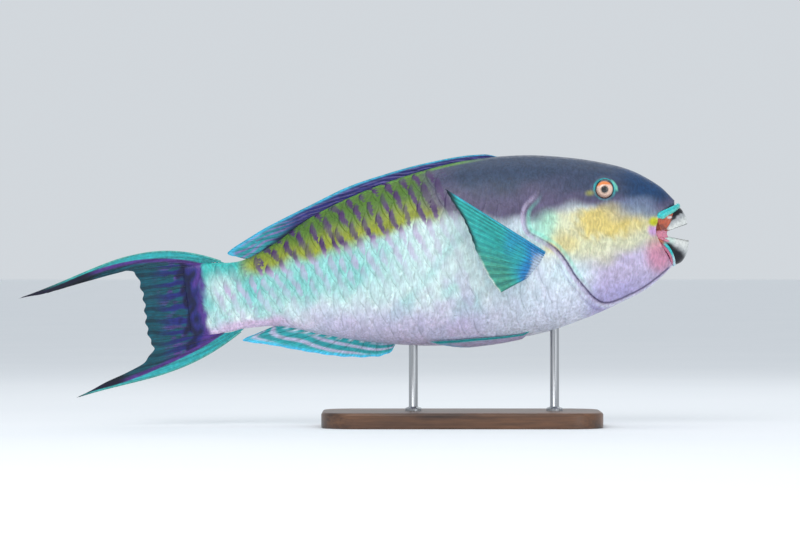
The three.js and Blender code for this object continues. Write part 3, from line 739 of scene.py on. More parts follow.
def dress(graph, shader, tone, flecks, smooth, rough):
    """Feeds the shader its colour, and a roughness that the flecks vary."""
    graph.feed(shader.inputs["Base Color"], tone)
    graph.feed(shader.inputs["Roughness"], graph.ramp(flecks, 0.3, 0.7, smooth, rough))


def mottled(graph, tone, place, scale, amount):
    """The tone made lighter and darker in soft flecks."""
    light = graph.ramp(graph.noise(place, scale), 0.3, 0.7, 1 - amount, 1 + amount)
    return graph.vector("SCALE", tone, light)


def skin_material():
    """Wet skin with fine streaks and wrinkles."""
    wet = {"Coat Weight": 0.12, "Coat Roughness": 0.25, "Subsurface Weight": 0.08,
           "Subsurface Scale": 0.003, "Specular IOR Level": 0.35}
    material, graph, shader = new_material("fish_skin", 0.42, wet)
    place = graph.object_place()
    tone, wrinkles = streaked(graph, graph.tone(), 0.2)
    tone = mottled(graph, tone, place, 150.0, 0.12)
    dress(graph, shader, tone, graph.noise(place, 240.0), 0.34, 0.52)
    pores = graph.put("ShaderNodeTexVoronoi", {"feature": "SMOOTH_F1"}, {"Vector": place, "Scale": 900.0})
    below = bump(graph, shader, pores.outputs["Distance"], 0.0003, 0.35)
    bump(graph, shader, wrinkles, 0.0006, 0.4, below)
    return material


def streaked(graph, tone, amount):
    """The tone broken up by fine upright wavy streaks, and the streaks' height."""
    place = graph.object_place((1.0, 1.0, 0.24))
    sway = graph.noise(graph.object_place(), 90.0, 1.0)
    bent = graph.vector("ADD", place, graph.vector("SCALE", graph.join(sway, sway, sway), 0.006))
    streaks = graph.noise(bent, 520.0, 3.0)
    light = graph.ramp(streaks, 0.28, 0.72, 1 - amount, 1 + amount)
    return graph.vector("SCALE", tone, light), streaks


def scale_material():
    """Wet scales with growth lines, the lilac bar that each one carries, and painted shade along each
    scale's free edge.
    """
    wet = {"Coat Weight": 0.15, "Coat Roughness": 0.25, "Specular IOR Level": 0.4,
           "Subsurface Weight": 0.06, "Subsurface Scale": 0.003}
    material, graph, shader = new_material("fish_scales", 0.4, wet)
    place = graph.object_place()
    bar = graph.attribute("bar")
    along, across, _ = graph.parts(graph.attribute("plate")["Vector"])
    tone, streaks = streaked(graph, graph.tone(), 0.15)
    ragged = graph.math("MULTIPLY", graph.math("SUBTRACT", streaks, 0.5), 0.22)
    blotch = graph.math("MULTIPLY", graph.math("SUBTRACT", graph.noise(place, 130.0), 0.5), 0.3)
    ragged = graph.math("ADD", ragged, blotch)
    centre = graph.math("MULTIPLY_ADD", across, 0.34, 0.79)
    offset = graph.math("ABSOLUTE", graph.math("SUBTRACT", graph.math("ADD", along, ragged), centre))
    wide = graph.math("ABSOLUTE", graph.math("ADD", across, 0.06))
    mask = graph.math("MULTIPLY", graph.ramp(offset, 0.22, 0.08), graph.ramp(wide, 0.74, 0.42))
    share = graph.math("MULTIPLY", mask, bar["Alpha"], clamp=True)
    tone = graph.blend(share, tone, bar["Color"])
    # painted shade: each scale made a little darker towards its free rear edge
    tone = graph.vector("SCALE", tone, graph.ramp(along, 0.84, 1.0, 1.0, 0.94))
    tone = mottled(graph, tone, place, 160.0, 0.1)
    dress(graph, shader, tone, graph.noise(place, 300.0), 0.32, 0.5)
    rings = graph.math("SINE", graph.math("MULTIPLY", along, 64.0))
    below = bump(graph, shader, rings, 0.0001, 0.25)
    bump(graph, shader, streaks, 0.0006, 0.35, below)
    return material


def fin_material():
    """Thin skin of the fins' webs."""
    thin = {"Coat Weight": 0.08, "Coat Roughness": 0.25, "Subsurface Weight": 0.1,
            "Subsurface Scale": 0.002, "Specular IOR Level": 0.3}
    material, graph, shader = new_material("fin_membrane", 0.45, thin)
    place = graph.object_place()
    tone = mottled(graph, graph.tone(), place, 220.0, 0.16)
    across, along, _ = graph.parts(graph.attribute("fin")["Vector"])
    folds = graph.noise(graph.join(graph.math("MULTIPLY", across, 60.0),
                                   graph.math("MULTIPLY", along, 3.0)), 2.0, 3.0)
    tone = graph.vector("SCALE", tone, graph.ramp(folds, 0.3, 0.7, 0.8, 1.2))
    dress(graph, shader, tone, graph.noise(place, 260.0), 0.36, 0.55)
    bump(graph, shader, folds, 0.0006, 0.4)
    return material


def ray_material():
    """Rays of the fins, ringed by their joints."""
    firm = {"Coat Weight": 0.1, "Coat Roughness": 0.25, "Specular IOR Level": 0.35}
    material, graph, shader = new_material("fin_rays", 0.4, firm)
    place = graph.object_place()
    tone = mottled(graph, graph.tone(), place, 300.0, 0.2)
    _, along, _ = graph.parts(graph.attribute("fin")["Vector"])
    joints = graph.math("SINE", graph.math("MULTIPLY", along, 220.0))
    tone = graph.vector("SCALE", tone, graph.ramp(joints, 0.2, 1.0, 1.0, 0.82))
    dress(graph, shader, tone, graph.noise(place, 400.0), 0.34, 0.5)
    bump(graph, shader, joints, 0.00015, 0.4)
    return material


def flesh_material():
    """Soft wet flesh of the lips and the folds at the mouth."""
    wet = {"Coat Weight": 0.6, "Coat Roughness": 0.12, "Subsurface Weight": 0.1,
           "Subsurface Scale": 0.002}
    material, graph, shader = new_material("lip_flesh", 0.35, wet)
    place = graph.object_place()
    tone = mottled(graph, graph.tone(), place, 500.0, 0.2)
    wrinkles = graph.noise(place, 700.0, 4.0)
    dress(graph, shader, tone, wrinkles, 0.28, 0.45)
    bump(graph, shader, wrinkles, 0.0004, 0.4)
    return material


def beak_material():
    """Enamel of the beak."""
    enamel = {"Coat Weight": 0.15, "Coat Roughness": 0.15, "Specular IOR Level": 0.3}
    material, graph, shader = new_material("beak_enamel", 0.25, enamel)
    place = graph.object_place()
    tone = mottled(graph, graph.tone(), place, 420.0, 0.12)
    teeth = graph.put("ShaderNodeTexVoronoi", {"feature": "SMOOTH_F1"}, {"Vector": place, "Scale": 620.0})
    gaps = teeth.outputs["Distance"]
    tone = graph.vector("SCALE", tone, graph.ramp(gaps, 0.35, 0.9, 1.0, 0.78))
    dress(graph, shader, tone, graph.noise(place, 500.0), 0.16, 0.34)
    bump(graph, shader, gaps, 0.0004, 0.3)
    return material


def eye_material():
    """Glossy eye."""
    clear = {"Coat Weight": 1.0, "Coat Roughness": 0.02, "Specular IOR Level": 0.5}
    material, graph, shader = new_material("fish_eye", 0.2, clear)
    place = graph.object_place()
    tone = mottled(graph, graph.tone(), place, 900.0, 0.1)
    dress(graph, shader, tone, graph.noise(place, 700.0), 0.14, 0.26)
    return material


def walnut_material():
    """Oiled walnut with its grain along the base."""
    material, graph, shader = new_material("base_walnut", 0.4, {"Coat Weight": 0.25, "Coat Roughness": 0.3})
    place = graph.object_place((2.2, 22.0, 22.0))
    grain = graph.noise(place, 3.0, 6.0, 0.62)
    fine = graph.noise(graph.object_place((10.0, 260.0, 260.0)), 3.0, 3.0)
    dark = colour_of(srgb(52, 32, 22))
    light = colour_of(srgb(112, 74, 48))
    tone = graph.blend(graph.ramp(grain, 0.32, 0.68), dark, light)
    tone = graph.vector("SCALE", tone, graph.ramp(fine, 0.3, 0.7, 0.8, 1.12))
    dress(graph, shader, tone, fine, 0.34, 0.5)
    bump(graph, shader, fine, 0.0004, 0.25)
    return material


def steel_material():
    """Brushed steel."""
    material, graph, shader = new_material("rod_steel", 0.3, {"Metallic": 1.0})
    brushed = graph.noise(graph.object_place((900.0, 900.0, 12.0)), 1.0, 2.0)
    dark = colour_of(srgb(150, 152, 156))
    light = colour_of(srgb(196, 198, 200))
    dress(graph, shader, graph.blend(brushed, dark, light), brushed, 0.24, 0.38)
    bump(graph, shader, brushed, 0.0001, 0.2)
    return material


def studio_material():
    """Matt paint of the studio's floor."""
    material, graph, shader = new_material("studio_paper", 0.85, {"Specular IOR Level": 0.2})
    flecks = graph.noise(graph.object_place(), 3.0)
    below = colour_of(srgb(240, 243, 246))
    above = colour_of(srgb(246, 248, 250))
    graph.feed(shader.inputs["Base Color"], graph.blend(flecks, below, above))
    return material


# Trees of geometry nodes


def new_tree(name, inputs):
    """A geometry node tree with one mesh in, named inputs and one mesh out."""
    tree = bpy.data.node_groups.new(name, "GeometryNodeTree")
    sockets = tree.interface
    sockets.new_socket("Geometry", in_out="OUTPUT", socket_type="NodeSocketGeometry")
    sockets.new_socket("Geometry", in_out="INPUT", socket_type="NodeSocketGeometry")
    for label, kind in inputs.items():
        sockets.new_socket(label, in_out="INPUT", socket_type="NodeSocket" + kind)
    graph = Graph(tree)
    source = graph.put("NodeGroupInput")
    return tree, graph, source.outputs


def run_tree(name, holder, tree, values):
    """The mesh that a tree makes on a holder, as an object of its own. The holder is removed."""
    modifier = holder.modifiers.new(tree.name, "NODES")
    modifier.node_group = tree
    for item in tree.interface.items_tree:
        if item.in_out == "INPUT" and item.name in values:
            modifier[item.identifier] = values[item.name]
    holder.update_tag()
    bpy.context.view_layer.update()
    depsgraph = bpy.context.evaluated_depsgraph_get()
    mesh = bpy.data.meshes.new_from_object(
        holder.evaluated_get(depsgraph), preserve_all_data_layers=True, depsgraph=depsgraph)
    holder.modifiers.clear()
    bpy.data.objects.remove(holder)
    mesh.name = name
    piece = bpy.data.objects.new(name, mesh)
    bpy.context.scene.collection.objects.link(piece)
    return piece


def scale_tree():
    """Lays one bowed plate on each bed, each point of it on the skin by the skin's own map."""
    tree, graph, given = new_tree("scale_coat", {
        "Skin": "Object", "Steps": "Int", "Sunk": "Float", "Lift": "Float", "Rim": "Float",
        "Arc": "Float", "Patch": "Vector", "Seed": "Int", "Material": "Material",
    })
    steps = given["Steps"]
    grid = graph.put("GeometryNodeMeshGrid", None, {
        "Size X": 1.0, "Size Y": 1.0, "Vertices X": steps, "Vertices Y": steps})
    gx, gy, _ = graph.parts(graph.put("GeometryNodeInputPosition").outputs[0])
    cell = graph.math("DIVIDE", 1.0, graph.math("SUBTRACT", steps, 1.0))
    inner = graph.math("SUBTRACT", 0.5, cell)
    along = graph.math("DIVIDE", gx, inner)
    across = graph.math("DIVIDE", gy, inner)
    reach = graph.math("MAXIMUM", graph.math("ABSOLUTE", along), graph.math("ABSOLUTE", across))
    rim = graph.math("GREATER_THAN", reach, 1.001)
    along01 = graph.math("MULTIPLY_ADD", along, 0.5, 0.5, clamp=True)
    across = graph.math("MAXIMUM", graph.math("MINIMUM", across, 1.0), -1.0)
    plate = graph.join(along01, across, rim)
    stored = graph.store(grid.outputs["Mesh"], "plate", plate)
    beds = graph.put("GeometryNodeInstanceOnPoints", None,
                     {"Points": given["Geometry"], "Instance": stored})
    real = graph.put("GeometryNodeRealizeInstances", None, {"Geometry": beds.outputs[0]}).outputs[0]
    along01, across, rim = graph.parts(graph.named("plate"))
    bed_u, bed_v, shift = graph.parts(graph.named("bed"))
    length, width, height = graph.parts(graph.named("size"))
    wide2 = graph.math("MULTIPLY", across, across)
    arc = graph.math("MULTIPLY", graph.math("MULTIPLY", given["Arc"], wide2), along01)
    back = graph.math("MULTIPLY", along01, graph.math("SUBTRACT", 1.0, arc))
    u = graph.math("SUBTRACT", bed_u, graph.math("MULTIPLY", graph.math("SUBTRACT", back, 0.35), length))
    v = graph.math("ADD", bed_v, graph.math("MULTIPLY", graph.math("MULTIPLY", across, 0.5), width))
    place = graph.join(graph.math("MAXIMUM", graph.math("MINIMUM", u, 0.9995), 0.0005),
                       graph.math("FLOORED_MODULO", v, 1.0))
    skin = graph.put("GeometryNodeObjectInfo", {"transform_space": "ORIGINAL"}, {"Object": given["Skin"]})
    skin_mesh = skin.outputs["Geometry"]
    lie = graph.named("lie")
    point = graph.on_map(skin_mesh, graph.put("GeometryNodeInputPosition").outputs[0], lie, place)
    normal = graph.on_map(skin_mesh, graph.put("GeometryNodeInputNormal").outputs[0], lie, place)
    normal = graph.vector("NORMALIZE", normal)
    chance = graph.put("FunctionNodeRandomValue", {"data_type": "FLOAT"},
                       {"Min": 0.8, "Max": 1.2, "ID": graph.math("MULTIPLY", shift, 1000.0),
                        "Seed": given["Seed"]}).outputs[1]
    lift = graph.math("MULTIPLY", given["Lift"], chance)
    rise = graph.math("MULTIPLY", graph.ramp(along01, 0.0, 0.95), lift)
    bowed = graph.math("MULTIPLY", graph.math("MULTIPLY", wide2, given["Lift"]), -0.45)
    fold = graph.math("MULTIPLY", rim, given["Rim"])
    total = graph.math("ADD", graph.math("ADD", rise, bowed), graph.math("SUBTRACT", fold, given["Sunk"]))
    total = graph.math("MULTIPLY", total, height)
    moved = graph.vector("ADD", point, graph.vector("SCALE", normal, total))
    laid = graph.put("GeometryNodeSetPosition", None, {"Geometry": real, "Position": moved}).outputs[0]
    patch = graph.join(graph.math("SUBTRACT", along01, 0.5), graph.math("MULTIPLY", across, 0.5))
    patch = graph.vector("MULTIPLY", patch, given["Patch"])
    baked = graph.vector("ADD", graph.join(bed_u, bed_v), patch)
    laid = graph.store(laid, "OFBake", baked, "FLOAT2", "CORNER")
    laid = graph.put("GeometryNodeFlipFaces", None, {"Mesh": laid}).outputs[0]
    graph.smooth_out(laid, given["Material"])
    return tree


def ray_tree():
    """Rays that run over a fin's middle surface by its own map, as tapered round rods."""
    tree, graph, given = new_tree("fin_rays", {
        "Rays": "Int", "Joints": "Int", "First": "Float", "Last": "Float", "Start": "Float",
        "End": "Float", "Spread": "Float", "Root Radius": "Float", "Tip Radius": "Float",
        "Material": "Material",
    })
    line = graph.put("GeometryNodeMeshLine", {"mode": "OFFSET"},
                     {"Count": given["Joints"], "Offset": (0.0, 1.0, 0.0)})
    step = graph.put("GeometryNodeInputIndex").outputs[0]
    share = graph.math("DIVIDE", step, graph.math("SUBTRACT", given["Joints"], 1.0))
    ray = graph.store(line.outputs[0], "share", share, "FLOAT")
    roots = graph.put("GeometryNodeMeshLine", {"mode": "OFFSET"},
                      {"Count": given["Rays"], "Offset": (1.0, 0.0, 0.0)}).outputs[0]
    order = graph.math("DIVIDE", graph.put("GeometryNodeInputIndex").outputs[0],
                       graph.math("SUBTRACT", given["Rays"], 1.0))
    roots = graph.store(roots, "order", order, "FLOAT")
    many = graph.put("GeometryNodeInstanceOnPoints", None, {"Points": roots, "Instance": ray}).outputs[0]
    real = graph.put("GeometryNodeRealizeInstances", None, {"Geometry": many}).outputs[0]
    share = graph.named("share", "FLOAT")
    order = graph.named("order", "FLOAT")
    along = graph.math("MULTIPLY_ADD", share, graph.math("SUBTRACT", given["End"], given["Start"]),
                       given["Start"])
    across = graph.math("MULTIPLY_ADD", order, graph.math("SUBTRACT", given["Last"], given["First"]),
                        given["First"])
    fan = graph.math("MULTIPLY", given["Spread"], graph.ramp(share, 0.0, 0.8))
    across = graph.math("ADD", across, fan, clamp=True)
    place = graph.join(across, along)
    here = graph.put("GeometryNodeInputPosition").outputs[0]
    point = graph.on_map(given["Geometry"], here, graph.named("web"), place)
    real = graph.store(real, "fin", place)
    real = graph.put("GeometryNodeSetPosition", None, {"Geometry": real, "Position": point}).outputs[0]
    curve = graph.put("GeometryNodeMeshToCurve", None, {"Mesh": real}).outputs[0]
    radius = graph.ramp(share, 0.0, 1.0, given["Root Radius"], given["Tip Radius"])
    profile = graph.put("GeometryNodeCurvePrimitiveCircle", {"mode": "RADIUS"},
                        {"Resolution": 8, "Radius": 1.0}).outputs[0]
    rods = graph.put("GeometryNodeCurveToMesh", None, {
        "Curve": curve, "Profile Curve": profile, "Scale": radius, "Fill Caps": True}).outputs[0]
    graph.smooth_out(rods, given["Material"])
    return tree


# The skin

SKIN_SIDES = 280
SKIN_RINGS = [(-TAIL_TUCK, 60, 52), (61.5, 288, 146), (289, BODY_END, 128)]
MOUTH_RINGS = 9
MIDDLE_RING = 200
RELIEF_FROM = 280.0
RELIEF_END = 402.0


def lie_share(along):
    """Where a distance along the body falls on the skin's own map."""
    return (along + TAIL_TUCK) / (BODY_END + TAIL_TUCK)


def head_relief(x, z):
    """Rise of the skin in millimetres: gill cover, cheek fold, throat edge and eye socket."""
    d, share = line_distance(x, z, GILL_LINE)
    strength = soft(share, 0.0, 0.12) * (1 - 0.55 * soft(share, 0.62, 0.8))
    over = soft(d, -0.5, 0.6)
    rise = strength * over * 1.3 * np.exp(-np.maximum(d, 0) / 15)
    rise -= strength * (1 - over) * 1.0 * np.exp(-np.maximum(-d, 0) / 4)
    rise += 0.45 * np.exp(-((d + 6.2) / 1.5) ** 2) * soft(share, 0.3, 0.45) * soft(share, 0.9, 0.7)
    rise -= 0.4 * np.exp(-((d + 8.2) / 1.2) ** 2) * soft(share, 0.3, 0.45) * soft(share, 0.9, 0.7)
    fold, place = line_distance(x, z, CHEEK_FOLD)
    rise -= 0.5 * np.exp(-(fold / 1.6) ** 2) * soft(place, 0.0, 0.2) * soft(place, 1.0, 0.8)
    rise += 0.35 * np.exp(-np.maximum(fold, 0) / 8) * soft(fold, 0, 3) * soft(place, 1.0, 0.8)
    away = np.hypot(x - EYE["at"][0], z - EYE["at"][1])
    rise += 1.1 * np.exp(-((away - EYE["rim"]) / 1.5) ** 2)
    rise -= 0.35 * np.exp(-((away - 13.0) / 1.4) ** 2)
    rise -= 4.2 * soft(away, 8.4, 6.6)
    for (nx, nz), radius in NOSTRILS:
        hole = np.hypot(x - nx, z - nz)
        rise += 0.35 * np.exp(-((hole - 1.6 * radius) / 0.7) ** 2)
        rise -= 1.2 * soft(hole, 1.3 * radius, 0.5 * radius)
    return rise


def mouth_rings(rim):
    """Rings that turn the skin in from the lips to the back of the mouth."""
    throat = np.array([MOUTH_BACK[0], 0, MOUTH_BACK[1]])
    inset = rim.copy()
    inset[:, 0] -= MOUTH_INSET
    inset[:, 1] = 0
    inset[:, 2] = throat[2]
    lip_ring = rim + (inset - rim) * (1 - MOUTH_SHRINK)
    rings = []
    for i in range(1, MOUTH_RINGS + 1):
        t = i / MOUTH_RINGS
        if t < 0.5:
            rings.append(rim + (lip_ring - rim) * (t / 0.5))
        else:
            rings.append(lip_ring + (throat - lip_ring) * ((t - 0.5) / 0.5) * 0.97)
    return np.array(rings)


def map_skin(skin, along):
    """The skin's own map: u runs along the body and v round it, with no jump at the seam."""
    u = np.concatenate([lie_share(along), 1.0 + 0.01 * np.arange(1, MOUTH_RINGS + 1)])
    index = corner_points(skin)
    ring = np.minimum(index // SKIN_SIDES, len(u) - 1)
    v = (index % SKIN_SIDES) / SKIN_SIDES
    polygons = skin.data.polygons
    start = np.empty(len(polygons), np.int32)
    polygons.foreach_get("loop_start", start)
    total = np.empty(len(polygons), np.int32)
    polygons.foreach_get("loop_total", total)
    corners = start[total == 4][:, None] + np.arange(4)[None, :]
    wrapped = v[corners]
    seam = (wrapped.max(1) > 0.9) & (wrapped.min(1) < 0.1)
    wrapped[seam] = np.where(wrapped[seam] < 0.1, wrapped[seam] + 1.0, wrapped[seam])
    v[corners] = wrapped
    fans = np.setdiff1d(np.arange(len(v)), corners.ravel())
    values = np.column_stack([u[ring], v])
    values[fans] = (1.2, 0.5)
    set_uv(skin, "lie", values)


def make_skin(material):
    """One skin from the tail's root to the lips, turned in to the mouth."""
    along = np.concatenate([np.linspace(a, b, n) for a, b, n in SKIN_RINGS])
    turn = np.linspace(0, 2 * np.pi, SKIN_SIDES, endpoint=False)
    points = skin_point(along[:, None], turn[None, :])
    ahead = np.gradient(points, axis=0)
    around = np.roll(points, -1, 1) - np.roll(points, 1, 1)
    normal = np.cross(around, ahead)
    normal /= np.maximum(np.linalg.norm(normal, axis=-1, keepdims=True), 1e-9)
    middle_ring = points[MIDDLE_RING]
    if np.sum(normal[MIDDLE_RING] * (middle_ring - middle_ring.mean(0))) < 0:
        normal = -normal
    head = along > RELIEF_FROM
    flat = points[head].reshape(-1, 3)
    rise = head_relief(flat[:, 0], flat[:, 2]).reshape(head.sum(), -1)
    middle = np.abs(np.cos(turn))
    rise *= soft(middle, 0.03, 0.16)[None, :] * soft(along[head], BODY_END + 1, RELIEF_END)[:, None]
    points[head] += normal[head] * rise[..., None]
    skin = ring_body("fish_skin", in_part(np.concatenate([points, mouth_rings(points[-1])])))
    map_skin(skin, along)
    set_tone(skin, paint_body(fish_points(skin)))
    return finish_piece(skin, material,
                        ("head", "gill_cover_right", "gill_cover_left", "trunk", "tail_stalk"))


# The scales

SCALE_LIFT = 0.34
SCALE_SUNK = 0.2
SCALE_RIM = -0.22
SCALE_ARC = 0.42
SCALE_STEPS = 12
SCALE_SPAN = 2.24  # a scale's width, in rows
BAKE_PATCH = 0.8  # share of its bed that a scale takes up on the baked map
NAPE_FROM = 56.0
BREAST_END = 356.0
GILL_GAP = 5.0
FAINTEST = 0.3
SCALE_COATS = {
    "scales_flank": {"first": 139.0, "last": 346.0, "pitch": 12.5, "rows": 22, "length": 19.0, "seed": 5},
    "scales_rear": {"first": 67.0, "last": 136.0, "pitch": 12.5, "rows": 16, "length": 18.5, "seed": 7},
    "scales_stalk": {"first": 9.0, "last": 64.0, "pitch": 12.0, "rows": 10, "length": 17.5, "seed": 9},
}


def scale_beds(spec):
    """Beds of one coat: map places, sizes on the map and heights, in staggered rows."""
    draw = np.random.default_rng(spec["seed"])
    span = BODY_END + TAIL_TUCK
    beds = []
    sizes = []
    columns = int(round((spec["last"] - spec["first"]) / spec["pitch"] * 2)) + 1
    for column in range(columns):
        for row in range(spec["rows"]):
            if (row + column) % 2:
                continue
            along = spec["first"] + column * spec["pitch"] / 2 + draw.uniform(-0.5, 0.5)
            turn = (row + 0.5) / spec["rows"] + draw.uniform(-0.002, 0.002)
            x, _, z = skin_point(along, 2 * np.pi * turn)
            ahead, _ = line_distance(np.array([x]), np.array([z]), GILL_LINE)
            on_nape = z > NAPE_FROM
            if not on_nape and (along > BREAST_END or ahead[0] > -GILL_GAP):
                continue
            fade = 1 - 0.82 * soft(along, 200, 256) * soft(z, 26, 44)
            fade *= 1 - 0.6 * soft(height_share(x, z), 0.7, 0.45)
            if fade < FAINTEST:
                continue
            breast = 1 - 0.25 * soft(along, 270, 320) * (not on_nape)
            beds.append((lie_share(along), turn, draw.uniform()))
            sizes.append((spec["length"] * draw.uniform(0.95, 1.05) / span,
                          SCALE_SPAN / spec["rows"], fade * breast))
    return np.array(beds), np.array(sizes)


def make_scales(skin, material):
    """Overlapping scales, each a thin bowed plate with its rear edge free."""
    tree = scale_tree()
    for name, spec in SCALE_COATS.items():
        beds, sizes = scale_beds(spec)
        holder = new_piece(name + "_beds", beds, [])
        set_vector(holder, beds, "bed")
        set_vector(holder, sizes, "size")
        patch_length = BAKE_PATCH * spec["pitch"] / 2 / (BODY_END + TAIL_TUCK)
        patch = (patch_length, BAKE_PATCH / spec["rows"], 0.0)
        scales = run_tree(name, holder, tree, {
            "Skin": skin, "Steps": SCALE_STEPS, "Sunk": SCALE_SUNK * MM, "Lift": SCALE_LIFT * MM,
            "Rim": SCALE_RIM * MM, "Arc": SCALE_ARC, "Patch": patch, "Seed": spec["seed"],
            "Material": material})
        points = fish_points(scales)
        plate = get_vector(scales, "plate")
        plate[:, 1] *= np.where(points[:, 1] > swim_bend(points[:, 0]), -1, 1)
        scales.data.attributes["plate"].data.foreach_set("vector", plate.astype(np.float32).ravel())
        set_tone(scales, paint_body(points))
        colour, strength = bar_marks(points)
        set_tone(scales, colour, "bar", strength)
        finish_piece(scales, material)


# The fins

# Shares of the web's width and length that the rays take up
RAY_SPAN = (0.004, 0.996)
RAY_START = 0.02
RAY_END = 0.985
RAY_JOINTS = 26
RAY_DARKER = 0.72


def fin_thickness(spec, across, along):
    """Half the thickness of a fin's web between its rays, thinner towards the free edge."""
    crest = 0.5 + 0.5 * np.cos(2 * np.pi * across * spec["rays"])
    taper = 1 - 0.38 * along
    return 0.5 * (0.6 * spec["thick"] + 0.7 * spec["ridge"] * crest * (1 - 0.6 * along)) * taper


def midline_place(spec, root_line, sink):
    """Places on a fin of the back or belly, its rays swept towards the tail."""
    def place(across, along):
        root_x = spec["front"] + (spec["rear"] - spec["front"]) * across
        tip = curve_points(spec["edge"], across)
        root_z = np.interp(root_x, root_line[:, 0], root_line[:, 2]) + sink
        along = along * (0.3 + 0.7 * soft(across, 0.0, 0.06))
        x = root_x + (tip[..., 0] - root_x) * along
        z = root_z + (tip[..., 1] - root_z) * along
        wave = 0.5 * np.sin(across * 23) * np.sin(along * 2.6)
        return np.stack([x, swim_bend(x) + wave, z], -1)
    return place


def pectoral_place(side):
    """Places on a pectoral fin, held out from the flank: side 1 is the right, -1 the left."""
    def place(across, along):
        base = curve_points(PECTORAL["root"], across)
        tip = curve_points(PECTORAL["edge"], across)
        inset = base + (tip - base) * -0.1
        flat = inset + (tip - inset) * along[..., None]
        start = half_width_at(base[..., 0], base[..., 1]) - 3 - 4 * np.maximum(0, 1 - along / 0.12)
        ripple = 0.9 * np.sin(across * 17 + along * 3) * along ** 2
        out = (start + PECTORAL["out"] * np.sin(along * 1.35)
               + PECTORAL["lift"] * np.sin(across * np.pi) * along + ripple)
        return np.stack([flat[..., 0], -side * out, flat[..., 1]], -1)
    return place


def pelvic_place(side):
    """Places on a pelvic fin, folded along the belly."""
    def place(across, along):
        back = PELVIC["upper_back"] + (PELVIC["lower_back"] - PELVIC["upper_back"]) * across
        front = PELVIC["front"] - 6 * across
        x = front + (back - front) * along
        spread = np.minimum(1, 0.35 + 1.1 * along)
        middle = (PELVIC["upper"] + PELVIC["lower"]) / 2
        angle = PELVIC["upper"] + (PELVIC["lower"] - PELVIC["upper"]) * across
        angle = middle + (angle - middle) * spread
        off = PELVIC["off"] - 5 * np.maximum(0, 1 - along / 0.12) + 1.2 * along
        p = skin_point(x, np.radians(angle), off)
        p[..., 1] *= side
        return p
    return place


def tail_place(across, along):
    """Places on the tail fin, its two lobes bowed outwards."""
    base = curve_points(TAIL["root"], across)
    tip = curve_points(TAIL["edge"], across)
    lobe = np.maximum(0, 1 - np.minimum(across, 1 - across) / TAIL["lobe"]) ** 1.5
    upper = (across < 0.5)[..., None]
    start = base + np.array([TAIL["sink"], 0])
    controls = []
    for k in range(2):
        bow = np.where(upper, TAIL["upper_bow"][k], TAIL["lower_bow"][k])
        controls.append(start + (tip - start) * (k + 1) / 3 + bow * lobe[..., None])
    t = along[..., None]
    at = ((1 - t) ** 3 * start + 3 * (1 - t) ** 2 * t * controls[0]
          + 3 * (1 - t) * t ** 2 * controls[1] + t ** 3 * tip)
    ripple = 1.1 * np.sin(across * 21) * soft(along, 0.3, 1.0) * (1 - lobe)
    return np.stack([at[..., 0], swim_bend(at[..., 0]) + ripple, at[..., 1]], -1)


def fin_web(name, spec, place):
    """A closed web, its free edge notched between the rays, and the middle surface that the
    rays lie on."""
    columns, rows = spec["grid"]
    across, along = np.meshgrid(np.linspace(0, 1, columns), np.linspace(0, 1, rows), indexing="ij")
    crest = 0.5 + 0.5 * np.cos(2 * np.pi * across * spec["rays"])
    length = np.linalg.norm(place(across, np.ones_like(along)) - place(across, along * 0), axis=-1)
    reach = along * (1 - spec["notch"] / length * (1 - crest) * soft(along, 0.7, 1.0))
    middle = place(across, reach)
    normal = np.cross(np.gradient(middle, axis=0), np.gradient(middle, axis=1))
    normal /= np.maximum(np.linalg.norm(normal, axis=-1, keepdims=True), 1e-9)
    half = fin_thickness(spec, across, along)[..., None]
    faces = grid_faces(columns, rows)
    count = columns * rows
    under = [tuple(i + count for i in f[::-1]) for f in faces]
    border = ([c * rows for c in range(columns)]
              + [(columns - 1) * rows + r for r in range(1, rows)]
              + [c * rows + rows - 1 for c in range(columns - 2, -1, -1)]
              + [r for r in range(rows - 2, 0, -1)])
    walls = []
    for i, a in enumerate(border):
        b = border[(i + 1) % len(border)]
        walls.append((b, a, a + count, b + count))
    points = np.concatenate([middle + normal * half, middle - normal * half]).reshape(-1, 3)
    web = closed_piece(name, in_part(points), faces + under + walls)
    values = np.column_stack([across.ravel(), along.ravel(), np.zeros(count)])
    set_vector(web, np.concatenate([values, values]), "fin")
    surface = new_piece(name + "_middle", in_part(middle.reshape(-1, 3)), faces)
    set_uv(surface, "web", values[corner_points(surface), :2])
    return web, surface


def join_pieces(name, pieces):
    """Joins pieces into the first one."""
    bpy.ops.object.select_all(action="DESELECT")
    for piece in pieces:
        piece.select_set(True)
    bpy.context.view_layer.objects.active = pieces[0]
    bpy.ops.object.join()
    pieces[0].name = name
    pieces[0].data.name = name
    return pieces[0]


def fin_rays(name, spec, surface, tree, material):
    """The rays of one fin: a rod for each, and two side branches that part from it."""
    root, tip = spec["ray_radii"]
    first, last = RAY_SPAN
    pitch = (last - first) / (spec["rays"] - 1)
    side = 0.75 * tip + 0.25 * root
    families = [(0.0, RAY_START, root, tip), (0.3 * pitch, spec["branch"], side, 0.7 * tip),
                (-0.3 * pitch, spec["branch"], side, 0.7 * tip)]
    made = []
    for i, (spread, start, thick, thin) in enumerate(families):
        holder = bpy.data.objects.new(f"{name}_{i}", surface.data.copy())
        bpy.context.scene.collection.objects.link(holder)
        made.append(run_tree(f"{name}_{i}", holder, tree, {
            "Rays": spec["rays"], "Joints": RAY_JOINTS, "First": first, "Last": last,
            "Start": start, "End": RAY_END, "Spread": spread, "Root Radius": thick * MM,
            "Tip Radius": thin * MM, "Material": material}))
    return join_pieces(name, made)


